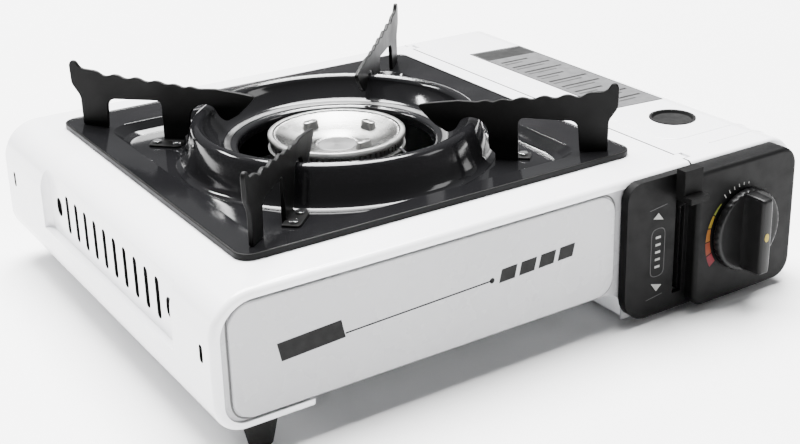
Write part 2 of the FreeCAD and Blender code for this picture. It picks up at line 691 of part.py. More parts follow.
def feet():
    """Four rubber feet and the screws that hold them from inside the casing."""
    screws = []
    for side, x, floor in (("left", "foot_x", "shell_floor"), ("right", "right_foot_x", "trough_floor")):
        for end, y in (("front", FRONT + " + foot_inset"), ("rear", REAR + " - foot_inset")):
            name = "foot_%s_%s" % (end, side)
            cone = doc.addObject("Part::Cone", name + "_cone")
            bind(cone, "Radius1", "5.6" if side == "left" else "7")
            bind(cone, "Radius2", "8.8" if side == "left" else "8")
            bind(cone, "Height", floor)
            move(cone, x, y, "0")
            bore = rod(name + "_bore", "z", x, y, "1.2", "foot_screw_radius", floor)
            keep(cut(name, cone, bore), name)
            head = rod(name + "_head", "z", x, y, floor + " + sheet", "2.5", "1.6")
            shank = rod(name + "_shank", "z", x, y, "1.2", "foot_screw_radius", floor + " + sheet - 0.5")
            screws.append(fuse(name + "_screw", [head, shank]))
    keep(group("foot_screws", screws), "foot_screws")


def panel_screws():
    screws = []
    for number, (x, z) in enumerate(PANEL_SCREWS):
        head = rod("panel_head_%d" % number, "y", x, FRONT + " + 2 * sheet", z, "2.8", "1.6")
        shank = rod("panel_shank_%d" % number, "y", x, FRONT + " - 1.8", z, "1.4", "1.8 + 2 * sheet + 0.5")
        screws.append(fuse("panel_screw_%d" % number, [head, shank]))
    keep(group("panel_screws", screws), "panel_screws")


def hinge_pins():
    pins = [rod("hinge_pin_front", "y", "hinge_x", HINGE_FRONT, "hinge_z", "hinge_pin_radius",
                "2 * hinge_leaf + 0.1"),
            rod("hinge_pin_rear", "y", "hinge_x", HINGE_REAR + " - hinge_leaf - 0.1", "hinge_z",
                "hinge_pin_radius", "2 * hinge_leaf + 0.1")]
    keep(group("lid_hinge_pins", pins), "lid_hinge_pins")


# Burner

def turned(label, corners):
    """A body turned about the burner's upright axis."""
    owner = body(label)
    revolve(owner, label + "_turning", corners)
    move(owner, "pan_x", "pan_y", "0")
    return owner


TUBE_START = Vector(98.0, -76.0, 22.0)
TUBE_END = Vector(-21.0, 10.0, 42.0)
TUBE_WAY = (TUBE_END - TUBE_START).normalize()
TUBE_TURN = Rotation(Vector(0, 0, 1), TUBE_WAY)


def on_tube(name, radius, start, end):
    """A cylinder on the axis of the mixing tube, between two distances from its mouth."""
    item = doc.addObject("Part::Cylinder", name)
    bind(item, "Radius", radius)
    item.Height = end - start
    item.Placement = Placement(TUBE_START + TUBE_WAY * start, TUBE_TURN)
    return item


def burner():
    base = turned("burner_base_cup", [
        ("0", "33"), ("16", "33"), ("16", "51"), ("30", "62"), ("33", "70"), ("33", "76"),
        ("30", "76"), ("30", "71"), ("27.5", "64.5"), ("13", "53.5"), ("13", "36"), ("0", "36")])
    keep(cut("burner_base", base, on_tube("base_inlet", "5.8", 110.0, 160.0)), "burner_base")

    ring = turned("burner_ring", [
        ("30", "76"), ("ring_radius", "76"), ("ring_radius", "ring_top - 1"), ("ring_radius - 1", "ring_top"),
        ("ring_radius - 2.8", "ring_top"), ("ring_radius - 2.8", "77.5"), ("30", "77.5")])
    port = extrude(ring, "Pocket", "flame_port", "x", "ring_radius - 4", "ring_radius + 1",
                   lambda s: rectangle(s, "-0.6", "77.9", "0.6", "81.2"))
    around(ring, "flame_port_ring", port, 60)
    keep(ring, "burner_ring")

    bowl = turned("burner_cap", [
        ("0", "76.5"), ("11.5", "76.5"), ("12.6", "77.4"), ("31", "83"),
        ("ring_radius - 2.8", "ring_top - 0.6"),
        ("ring_radius - 2.8", "ring_top - 2"), ("31", "81.6"), ("13.2", "76"), ("12", "75.2"), ("0", "75.2")])
    keep(bowl, "burner_cap")

    tabs = []
    for number in range(4):
        tab = doc.addObject("Part::Box", "cap_tab_%d" % number)
        tab.Length = 4.4
        tab.Width = 9.2
        tab.Height = 6.6
        turn = Rotation(Vector(0, 0, 1), 10 + 90 * number)
        start = turn.multVec(Vector(19.8, -4.6, 0)) + Vector(size("pan_x"), size("pan_y"), 77.6)
        tab.Placement = Placement(start, turn)
        tabs.append(tab)
    above = doc.addObject("Part::Cone", "above_cap")
    above.Radius1 = 12.6
    above.Radius2 = 12.6 + 8.6 * 18.4 / 5.6
    above.Height = 8.6
    move(above, "pan_x", "pan_y", "77.4")
    trimmed = doc.addObject("Part::Common", "cap_tabs_trimmed")
    trimmed.Base = group("cap_tabs", tabs)
    trimmed.Tool = above
    keep(trimmed, "burner_clips")

    saddle_top = block("saddle_top", "pan_x - 18", "pan_y - 14", "33 - 1.5", "36", "28", "1.5")
    saddle_legs = [block("saddle_leg_%d" % i, "pan_x + %g" % x, "pan_y - 14", "shell_floor + 7", "1.5", "28",
                         "33 - 7 - shell_floor") for i, x in enumerate((-18, 16.5))]
    saddle_feet = [block("saddle_foot_%d" % i, "pan_x + %g" % x, "pan_y - 14", "shell_floor + 7", "10", "28",
                         "1.5") for i, x in enumerate((-28, 18))]
    keep(fuse("burner_bracket", [saddle_top] + saddle_legs + saddle_feet), "burner_bracket")


def gas_line():
    """The brass jet, the mixing tube with its air ports and the sleeve that trims the air."""
    length = (TUBE_END - TUBE_START).Length
    owner = body("mixing_tube_blank")
    revolve(owner, "tube_turning", [
        ("2.6", "-4"), ("9", "-4"), ("9", "16"), ("7", "22"), ("7", "%g" % length), ("5.8", "%g" % length),
        ("5.8", "22"), ("7.6", "15"), ("7.6", "-2.8"), ("2.6", "-2.8")])
    owner.Placement = Placement(TUBE_START, TUBE_TURN)
    stem = rod("stem_outside", "z", "pan_x", "pan_y", "30", "16", "30")
    trimmed = cut("tube_trimmed", owner, stem)
    ports = doc.addObject("Part::Box", "air_port_tool")
    ports.Length = 7
    ports.Width = 40
    ports.Height = 7
    start = TUBE_START + TUBE_WAY * 3 + TUBE_TURN.multVec(Vector(-3.5, -20, 0))
    ports.Placement = Placement(start, TUBE_TURN)
    keep(cut("mixing_tube", trimmed, ports), "mixing_tube")

    sleeve = cut("sleeve_ring", on_tube("sleeve_outer", "9.9", 1.5, 11.5),
                 on_tube("sleeve_bore", "9", 0.0, 14.0))
    window = doc.addObject("Part::Box", "sleeve_window")
    window.Length = 7
    window.Width = 40
    window.Height = 6
    turn = TUBE_TURN.multiply(Rotation(Vector(0, 0, 1), 25))
    window.Placement = Placement(TUBE_START + TUBE_WAY * 3.5 + turn.multVec(Vector(-3.5, -20, 0)), turn)
    keep(cut("air_shutter", sleeve, window), "air_shutter")

    hexagon = on_tube("jet_body", "2.5", -4.0, 1.0)
    tip = doc.addObject("Part::Cone", "jet_tip")
    tip.Radius1 = 2.5
    tip.Radius2 = 1.0
    tip.Height = 3.0
    tip.Placement = Placement(TUBE_START + TUBE_WAY * 1.0, TUBE_TURN)
    orifice = on_tube("jet_orifice", "0.4", -5.0, 6.0)
    keep(cut("gas_jet", fuse("jet_blank", [hexagon, tip]), orifice), "gas_jet")


def valve():
    """The valve and regulator block with its inlet, cover, spindle boss and stand."""
    upper = block("valve_upper", "104", "-90", "26", "44", "24", "29")
    lower = block("valve_lower", "104", "-90", "12", "18", "24", "14")
    outlet = on_tube("valve_outlet", "5", -16.0, -4.0)
    inlet = rod("valve_inlet", "y", "can_x", "-66", "can_z", "11", "8")
    boss = rod("spindle_boss", "y", "knob_x", "-104", "knob_z", "6", "14")
    blank = fuse("valve_blank", [upper, lower, outlet, inlet, boss])
    bores = group("valve_bores", [
        rod("spindle_bore", "y", "knob_x", "-105", "knob_z", "spindle_radius + running_gap", "27"),
        rod("inlet_bore", "y", "can_x", "-70", "can_z", "2", "20"),
        on_tube("outlet_bore", "1.2", -20.0, 0.0),
        on_tube("tube_head_room", "10.3", -4.0, 30.0)])
    keep(cut("valve_body", blank, bores), "valve_body")

    cover = doc.addObject("Part::Cone", "cover_dome")
    cover.Radius1 = 11.5
    cover.Radius2 = 7
    cover.Height = 6
    move(cover, "125", "-78", "56.5")
    rim = rod("cover_rim", "z", "125", "-78", "55", "12", "1.5")
    keep(fuse("diaphragm_cover", [cover, rim]), "diaphragm_cover")

    seat = cut("seat_ring", rod("seat_outer", "y", "can_x", "-58", "can_z", "6", "2.5"),
               rod("seat_bore", "y", "can_x", "-59", "can_z", "3.4", "5"))
    keep(seat, "inlet_seat")
    seal = cut("seal_ring", rod("seal_outer", "y", "can_x", "-58", "can_z", "3.4", "1.6"),
               rod("seal_bore", "y", "can_x", "-59", "can_z", "1.5", "5"))
    keep(seal, "inlet_seal")

    plate = cut("collar_plate", rod("collar_outer", "y", "can_x", "-66", "can_z", "19", "2"),
                rod("collar_bore", "y", "can_x", "-67", "can_z", "11", "4"))
    key = block("collar_key", "can_x - 1.5", "-64", "can_z + 13.5", "3", "8", "4")
    keep(fuse("collar_locator", [plate, key]), "collar_locator")

    stand = [block("stand_top", "124", "-89", "26 - 1.5", "20", "22", "1.5"),
             block("stand_front", "124", "-89", "trough_floor + sheet", "20", "1.5",
                   "26 - trough_floor - sheet"),
             block("stand_rear", "124", "-68.5", "trough_floor + sheet", "20", "1.5",
                   "26 - trough_floor - sheet"),
             block("stand_foot", "124", "-97", "trough_floor + sheet", "20", "8", "1.5")]
    keep(fuse("valve_bracket", stand), "valve_bracket")


def swept(points, radius):
    """A round wire or cable through points, with balls at the bends."""
    pieces = []
    for one, two in zip(points, points[1:]):
        pieces.append(Part.makeCylinder(radius, (two - one).Length, one, two - one))
    for corner in points[1:-1]:
        pieces.append(Part.makeSphere(radius, corner))
    whole = pieces[0].multiFuse(pieces[1:])
    return whole.removeSplitter()


def igniter():
    """The spark unit beside the spindle, its lead and the electrode at the burner."""
    case = block("igniter_case", "137", "-114", "33", "28", "18", "15")
    plunger = rod("igniter_plunger", "x", "knob_x + 12.6", "-108", "knob_z", "2.5", "137.5 - knob_x - 12.6")
    foot = block("igniter_foot", "140", "-104", "trough_floor + sheet", "15", "6",
                 "33 - trough_floor - sheet")
    keep(fuse("igniter_body", [case, plunger, foot]), "igniter_body")

    x, y = size("pan_x") + 20.0, size("pan_y") - 35.0
    floor = size("shell_floor") + 7
    insulator = cut("insulator_tube", rod("insulator_outer", "z", "pan_x + 20", "pan_y - 35",
                                          "shell_floor + 7", "3", "48"),
                    rod("insulator_bore", "z", "pan_x + 20", "pan_y - 35", "shell_floor + 8", "0.8", "60"))
    keep(insulator, "electrode_insulator")
    reach = Vector(size("pan_x") - x, size("pan_y") - y, 0).normalize()
    tip = Vector(x, y, 80) + reach * 2.6
    keep(made("igniter_electrode", swept([Vector(x, y, floor + 1), Vector(x, y, 78), tip], 0.8)),
         "igniter_electrode")
    lead = swept([Vector(150, -109, 33), Vector(150, -109, 8), Vector(142, -114.6, 8),
                  Vector(66, -114.6, 8), Vector(60, -113, 29.5), Vector(46, -110, 29.5),
                  Vector(x + 8, y - 12, 26), Vector(x + 2.5, y - 2.5, 26)], 1.2)
    keep(made("igniter_lead", lead), "igniter_lead")


# Lever and pusher

def turned_plate(name, x, thick, corners):
    """A flat plate square to X through points in Y and Z."""
    points = [Vector(x, y, z) for y, z in corners]
    face = Part.Face(Part.makePolygon(points + points[:1]))
    return face.extrude(Vector(thick, 0, 0))


def lever_parts():
    y, z = size("lever_y"), size("lever_z")
    gap = size("running_gap")
    pin = size("lever_pin_radius")
    thick = size("lever_plate")
    plate_x = size("lever_plate_left")
    front = (size("knob_reach") - size("body_depth")) / 2

    arm = turned_plate("arm", plate_x, thick, [
        (y + 4, z - 5), (y + 4, z + 5), (y - 4, z + 6), (front - 4, z + 28), (front - 8.5, z + 34),
        (front - 14, z + 34), (front - 14, z + 26), (front - 5, z + 18)])
    hub = Part.makeCylinder(6, 20, Vector(72, y, z), Vector(1, 0, 0))
    cam = turned_plate("cam", 88.5, 3.0, [(y - 6, z), (y + 6, z), (y + 9, z + 17.5), (y - 5, z + 17.5)])
    slot_centre = [(0.0, 13.0), (2.22, 13.15), (5.1, 13.42)]
    slots = [Part.makeCylinder(1.8, 4, Vector(88, y + a, z + b), Vector(1, 0, 0)) for a, b in slot_centre]
    for (a, b), (c, d) in zip(slot_centre, slot_centre[1:]):
        way = Vector(0, c - a, d - b)
        side = Vector(0, -way.z, way.y).normalize() * 1.8
        ends = [Vector(88, y + a, z + b) - side, Vector(88, y + c, z + d) - side,
                Vector(88, y + c, z + d) + side, Vector(88, y + a, z + b) + side]
        slots.append(Part.Face(Part.makePolygon(ends + ends[:1])).extrude(Vector(4, 0, 0)))
    cam = cam.cut(slots[0].multiFuse(slots[1:]))
    tab = Part.makeBox(12, 6, 16, Vector(76, front - 14.5, z + 25))
    ledge = Part.makeBox(12, 11, 3.2, Vector(76, front - 19.5, z + 25))
    whole = arm.multiFuse([hub, cam, tab, ledge])
    bore = Part.makeCylinder(pin + gap, 40, Vector(60, y, z), Vector(1, 0, 0))
    keep(made("lock_lever", whole.cut(bore).removeSplitter()), "lock_lever")

    keep(rod("lever_pin", "x", "68", "lever_y", "lever_z", "lever_pin_radius", "26.2"), "lever_pin")

    floor = size("trough_floor") + size("sheet")
    ear_corners = [(-112, floor), (-90, floor), (-88, 30), (y + 6, z - 6), (y + 6, z + 6), (y - 6, z + 6),
                   (-96, 34)]
    ears = [turned_plate("ear", x, 1.6, ear_corners) for x in (69.0, 92.6)]
    foot = Part.makeBox(25.2, 33, 1.2, Vector(69, -112, floor))
    frame = foot.multiFuse(ears).cut(Part.makeCylinder(pin, 60, Vector(60, y, z), Vector(1, 0, 0)))
    keep(made("lever_bracket", frame.removeSplitter()), "lever_bracket")

    coil_radius = 7.6
    wire = 0.6
    helix = Part.makeHelix(1.5, 4.5, coil_radius)
    side_turn = Rotation(Vector(0, 1, 0), 90).multiply(Rotation(Vector(0, 0, 1), -90))
    helix.Placement = Placement(Vector(74.0, y, z), side_turn)
    start = helix.Edges[0].valueAt(helix.Edges[0].FirstParameter)
    way = helix.Edges[0].tangentAt(helix.Edges[0].FirstParameter)
    profile = Part.Wire(Part.Circle(start, way, wire).toShape())
    coil = Part.Wire(helix.Edges).makePipeShell([profile], True, True)
    leg_top = start
    leg = Part.makeCylinder(wire, leg_top.z - floor - 1.2, Vector(leg_top.x, leg_top.y, floor + 1.2),
                            Vector(0, 0, 1))
    keep(made("lever_spring", coil.fuse(leg)), "lever_spring")

    slide_low, slide_high = 50.0, 58.0
    strip = Part.makeBox(1.5, 141 + 79, slide_high - slide_low, Vector(95, -79, slide_low))
    post = Part.makeCylinder(1.5, 7.5, Vector(88, y, z + 13), Vector(1, 0, 0))
    plate = Part.makeBox(65, 2, 52, Vector(95, 139, 8))
    pusher = strip.multiFuse([post, plate]).removeSplitter()
    keep(made("cartridge_pusher", pusher), "cartridge_pusher")

    guides = []
    for start_y in (-44.0, 92.0):
        outer = Part.makeBox(4.0, 8, 12, Vector(93.4, start_y, 48))
        room = Part.makeBox(1.6, 10, 8.1, Vector(94.95, start_y - 1, 49.95))
        guides.append(outer.cut(room))
    keep(made("pusher_guides", Part.makeCompound(guides)), "pusher_guides")


# Moving covers

def lid():
    owner = body("lid")
    right = size("body_width") / 2
    high = size("deck_top")
    front = (size("knob_reach") - size("body_depth")) / 2 + 0.1
    rear = front + size("body_depth") - 0.2
    extrude(owner, "Pad", "lid_solid", "y", FRONT + " + 0.1", REAR + " - 0.1",
            lambda s: rectangle(s, "lid_left", "deck_top - lid_skirt", RIGHT, "deck_top"))
    soften(owner, "lid_bend", "top_bend", edge_at("y", x=right, z=high))
    soften(owner, "lid_end_rounds", "2.4",
           lambda edge: (rim_at("y", front)(edge) or rim_at("y", rear)(edge))
           and edge.BoundBox.XMax > size("lid_left") + 0.1 and edge.BoundBox.ZMax > high - 52)
    extrude(owner, "Pocket", "lid_hollow", "y", FRONT + " + 0.9", REAR + " - 0.9",
            lambda s: wrap_right(s, "lid_left - 2", "deck_top - lid_skirt - 2", RIGHT + " - lid_sheet",
                                 "deck_top - lid_sheet", "top_bend - lid_sheet"))
    extrude(owner, "Pocket", "lid_ends_open", "y", FRONT, REAR,
            lambda s: wrap_right(s, "lid_left - 2", "deck_top - lid_skirt - 2", RIGHT + " - 4",
                                 "deck_top - 4", "top_bend - 4"))
    extrude(owner, "Pocket", "port_hole", "z", "deck_top - 8", "deck_top + 2",
            lambda s: circle(s, "port_x", "port_y", "port_radius"))
    for name, start in (("front", HINGE_FRONT), ("rear", HINGE_REAR)):
        extrude(owner, "Pocket", "notch_" + name, "z", "deck_top - 6", "deck_top + 2",
                lambda s: rectangle(s, "lid_left - 1", start + " - 0.3", "hinge_x + 2.6",
                                    start + " + hinge_leaf + 0.2"))
    for name, start in (("front", HINGE_FRONT + " + hinge_leaf + 0.1"),
                        ("rear", HINGE_REAR + " - hinge_leaf - 0.1")):
        end = start + " + hinge_leaf"
        extrude(owner, "Pad", "lid_knuckle_" + name, "y", start, end,
                lambda s: circle(s, "hinge_x", "hinge_z", "knuckle_radius"))
        extrude(owner, "Pocket", "lid_bore_" + name, "y", start + " - 0.2", end + " + 0.2",
                lambda s: circle(s, "hinge_x", "hinge_z", "hinge_pin_radius + running_gap"))
    keep(owner, "lid")

    cup = body("finger_cup")
    revolve(cup, "cup_turning", [
        ("0", "deck_top - 3"), ("port_radius", "deck_top - 3"), ("port_radius", "deck_top"),
        ("port_radius + 0.8", "deck_top"), ("port_radius + 0.8", "deck_top + 0.5"),
        ("port_radius - 0.6", "deck_top + 0.5"), ("port_radius - 1.4", "deck_top - 1"),
        ("0", "deck_top - 1.4")])
    move(cup, "port_x", "port_y", "0")
    keep(cup, "finger_cup")


def rounded_square(half, corner, z):
    """The closed outline of a square with round corners about the pan's axis."""
    x, y = size("pan_x"), size("pan_y")
    edges = []
    inner = half - corner
    for number in range(4):
        turn = Rotation(Vector(0, 0, 1), 90 * number)
        point = lambda a, b: turn.multVec(Vector(a, b, 0)) + Vector(x, y, z)
        mid = corner * math.cos(math.pi / 4)
        edges.append(Part.makeLine(point(half, -inner), point(half, inner)))
        edges.append(Part.Arc(point(half, inner), point(inner + mid, inner + mid),
                              point(inner, half)).toShape())
    return Part.Wire(Part.__sortEdges__(edges))


PAN_STEPS = ((86.0, 16.0, 0.0), (88.5, 15.0, 1.6), (92.0, 14.0, 6.0), (110.0, 8.0, 9.0))


def pan_room(drop):
    """The room above the pan's sheet, lowered by a distance."""
    floor = size("pan_floor")
    wires = [rounded_square(half, corner, floor + up - drop) for half, corner, up in PAN_STEPS]
    pieces = [Part.makeLoft([low, high], True, True) for low, high in zip(wires, wires[1:])]
    return pieces[0].multiFuse(pieces[1:])


def drip_pan():
    """The pressed tray with the raised collar round the burner."""
    x, y = size("pan_x"), size("pan_y")
    skin = size("pan_sheet")
    rim = size("pan_rim")
    floor = size("pan_floor")
    half, corner, up = PAN_STEPS[-1]
    lip_outer = Part.Face(rounded_square(half, corner, rim - 3.0)).extrude(Vector(0, 0, 3.0))
    lip_inner = Part.Face(rounded_square(half - skin, corner - skin, rim - 4.0)).extrude(Vector(0, 0, 6.0))
    cap = Part.Face(rounded_square(half, corner, rim - skin)).extrude(Vector(0, 0, skin))
    tray = pan_room(skin).fuse(cap).cut(pan_room(0.0)).fuse(lip_outer.cut(lip_inner))
    tray = tray.cut(Part.makeCylinder(79.0, 20, Vector(x, y, floor - 10)))
    crest = size("collar_radius")
    top = size("collar_top")
    hole = size("pan_hole")
    outline = [(82, floor), (80.2, floor + 1), (crest + 4, top - 5.2), (crest + 2.7, top - 1.5), (crest, top),
               (crest - 2.7, top - 1.5), (crest - 5.7, top - 6.8), (61, 80.9), (58, 80.3), (hole + 1.2, 79.6),
               (hole, 78.6), (hole, 74.5), (hole + skin, 74.5), (hole + skin, 78.2), (hole + 2.2, 78.5),
               (58.3, 79.1), (61.5, 79.7), (crest - 4.6, top - 7.6), (crest - 1.6, top - 2.5),
               (crest, top - 1.4), (crest + 1.6, top - 2.4), (crest + 2.8, top - 5.6), (79, floor + 0.4),
               (79, floor - skin), (82, floor - skin)]
    points = [Vector(x + r, y, z) for r, z in outline]
    collar = Part.Face(Part.makePolygon(points + points[:1])).revolve(Vector(x, y, 0), Vector(0, 0, 1), 360)
    pan = tray.fuse(collar)
    holes = [Part.makeCylinder(RIVET, 10, rivet_place(turn, rho) + Vector(0, 0, floor - 5))
             for turn in ARM_TURNS for rho in RIVET_REACH]
    keep(made("drip_pan", pan.cut(holes[0].multiFuse(holes[1:])).removeSplitter()), "drip_pan")


ARM_TURNS = (45.0, 135.0, 225.0, 315.0)
ARM_NAMES = ("rear_right", "rear_left", "front_left", "front_right")
RIVET = 1.2
RIVET_REACH = (87.5, 98.5)
RIVET_SIDE = 5.5
ARM_OUTLINE = (
    (84.5, 73.0), (96.5, 73.0), (96.5, 94.5), (98.3, 96.3), (124.5, 96.0), (127.0, 93.5), (128.0, 79.5),
    (142.3, 81.1), (142.5, 97.0), (147.0, 104.0), (147.4, 114.5), (146.2, 116.8), (143.4, 116.6),
    (141.0, 112.5), (132.0, 111.5), (127.5, 108.3), (121.4, 110.4), (115.0, 107.3), (109.7, 109.2),
    (103.5, 106.2), (98.4, 107.8), (92.8, 105.4), (88.3, 106.2), (83.0, 104.1), (79.7, 105.2),
    (75.3, 103.9), (65.4, 104.2), (52.0, 102.5), (45.0, 101.2), (44.2, 99.8), (47.2, 96.4), (53.1, 90.5),
    (60.0, 86.3), (64.0, 88.6), (67.0, 94.4), (71.5, 95.6), (76.5, 94.6), (80.4, 90.0), (81.5, 79.0),
    (84.5, 76.5))


def rivet_place(turn, rho):
    way = Rotation(Vector(0, 0, 1), turn)
    return Vector(size("pan_x"), size("pan_y"), 0) + way.multVec(Vector(rho, RIVET_SIDE, 0))


def pan_supports():
    """Four like blades with stepped tops, riveted to the pan by a foot each."""
    thick = size("arm_sheet")
    centre = Vector(size("pan_x"), size("pan_y"), 0)
    grown = size("horn_top") - 117.0
    points = [Vector(rho, -thick / 2, z + (grown if z > 112 else 0)) for rho, z in ARM_OUTLINE]
    blade = Part.Face(Part.makePolygon(points + points[:1])).extrude(Vector(0, thick, 0))
    foot = Part.makeBox(18, 9, 1.2, Vector(84.5, thick / 2 - 0.4, size("pan_floor")))
    arm = blade.fuse(foot)
    for rho in RIVET_REACH:
        arm = arm.cut(Part.makeCylinder(RIVET, 8, Vector(rho, RIVET_SIDE, 70)))
    arm = arm.removeSplitter()
    rivets = []
    for name, turn in zip(ARM_NAMES, ARM_TURNS):
        place = Placement(centre, Rotation(Vector(0, 0, 1), turn))
        keep(made("pan_support_" + name, arm, place), "pan_support_" + name)
        for rho in RIVET_REACH:
            spot = rivet_place(turn, rho)
            floor = size("pan_floor")
            under = floor - size("pan_sheet")
            head = Part.makeCylinder(2.3, 1.2, spot + Vector(0, 0, floor + 1.2))
            shank = Part.makeCylinder(RIVET, floor + 2.4 - under, spot + Vector(0, 0, under - 0.2))
            tail = Part.makeCylinder(2.0, 0.9, spot + Vector(0, 0, under - 0.9))
            rivets.append(head.multiFuse([shank, tail]).removeSplitter())
    keep(made("support_rivets", Part.makeCompound(rivets)), "support_rivets")


def knob_parts():
    """The turning control: a disc with an upright grip, its spindle and the cam for the spark unit."""
    face = FRONT + " - panel_thick - 0.5"
    disc = rod("knob_disc", "y", "knob_x", face + " - knob_disc", "knob_z", "knob_radius", "knob_disc")
    grip = block("knob_grip", "knob_x - grip_width / 2", FRONT + " - knob_reach", "knob_z - knob_radius + 1",
                 "grip_width", "knob_reach - panel_thick - 0.5 - knob_disc + 1", "2 * knob_radius - 2")
    limit = rod("knob_limit", "y", "knob_x", FRONT + " - knob_reach - 1", "knob_z", "knob_radius", "30")
    grip_cut = doc.addObject("Part::Common", "knob_grip_round")
    grip_cut.Base = grip
    grip_cut.Tool = limit
    blank = fuse("knob_blank", [disc, grip_cut])
    bore = rod("knob_bore", "y", "knob_x", FRONT + " - knob_reach + 5", "knob_z", "spindle_radius", "40")
    keep(cut("knob", blank, bore), "knob")
    keep(rod("valve_spindle", "y", "knob_x", FRONT + " - knob_reach + 5", "knob_z", "spindle_radius",
             "knob_reach - 5 + 40.5"), "valve_spindle")
    disc = rod("cam_disc", "y", "knob_x", "-112", "knob_z", "9", "6")
    lobe = block("cam_lobe", "knob_x - 5", "-112", "knob_z - 11", "5", "6", "7")
    hole = rod("cam_bore", "y", "knob_x", "-120", "knob_z", "spindle_radius", "20")
    keep(cut("igniter_cam", fuse("cam_blank", [disc, lobe]), hole), "igniter_cam")


HINGE_FRONT = FRONT + " + 6"
HINGE_REAR = REAR + " - 6 - hinge_leaf"
PANEL_SCREWS = (("60", "16"), ("60", "62"), ("149.5", "16"), ("149.5", "62"))

for build in (body_shell, front_plate, rear_plate, base_plate, compartment_trough, heat_partition,
              cartridge_cradle, control_panel, feet, panel_screws, hinge_pins, burner, gas_line, valve,
              igniter, lever_parts, lid, drip_pan, pan_supports, knob_parts):
    build()
    doc.recompute()

doc.removeObject("probe")

# Checks and files

os.makedirs("parts", exist_ok=True)
for item in doc.Objects:
    if "Invalid" in item.State or "Error" in item.State:
        raise RuntimeError("%s does not compute: %s" % (item.Name, item.State))
for item in nodes:
    if item.Shape.isNull() or not item.Shape.isValid() or not item.Shape.Solids:
        raise RuntimeError("%s has no sound solid" % item.Label)
    item.Shape.exportStep("parts/%s.step" % item.Label)
    box = item.Shape.BoundBox
    print("%-26s %2d solids %9.0f mm3  x %7.1f %7.1f  y %7.1f %7.1f  z %6.1f %6.1f" % (
        item.Label, len(item.Shape.Solids), item.Shape.Volume, box.XMin, box.XMax, box.YMin, box.YMax,
        box.ZMin, box.ZMax))
print(len(nodes), "sub-parts")
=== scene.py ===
import math

import bmesh
import bpy
from mathutils import Matrix, Vector


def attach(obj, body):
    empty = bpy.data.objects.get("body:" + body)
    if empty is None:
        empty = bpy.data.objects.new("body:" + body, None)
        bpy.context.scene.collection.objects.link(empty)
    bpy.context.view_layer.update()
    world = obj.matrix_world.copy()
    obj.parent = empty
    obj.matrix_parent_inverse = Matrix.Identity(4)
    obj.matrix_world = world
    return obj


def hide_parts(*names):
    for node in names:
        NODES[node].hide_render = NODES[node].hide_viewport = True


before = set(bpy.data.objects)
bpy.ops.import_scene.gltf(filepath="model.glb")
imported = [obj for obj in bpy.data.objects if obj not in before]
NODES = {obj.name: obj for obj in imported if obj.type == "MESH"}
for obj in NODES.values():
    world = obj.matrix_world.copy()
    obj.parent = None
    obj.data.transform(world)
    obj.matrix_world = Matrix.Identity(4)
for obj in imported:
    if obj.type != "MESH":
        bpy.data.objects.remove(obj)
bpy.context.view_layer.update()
MM = 0.001

# Main places and sizes, in millimetres

PAN_X, PAN_Y = -33.0, 14.5
FRONT, LEFT, RIGHT = -119.5, -170.0, 170.0
DECK = 79.0
PAN_FLOOR, SHEET = 73.0, 1.2
LID_BEND = 20.0
KNOB_X, KNOB_Z = 121.0, 40.5
FIELD_FACE = FRONT - 0.4
PANEL_FACE, DIAL_FACE = -124.5, -131.5
RECESS_FACE = LEFT + 4.0
SHADE_LINER_DEEP = 1.25
TAB_SLOTS = (("back", 132.5), ("front", -109.0))
PROUD, INK_DEEP = 0.06, 0.1


# Materials

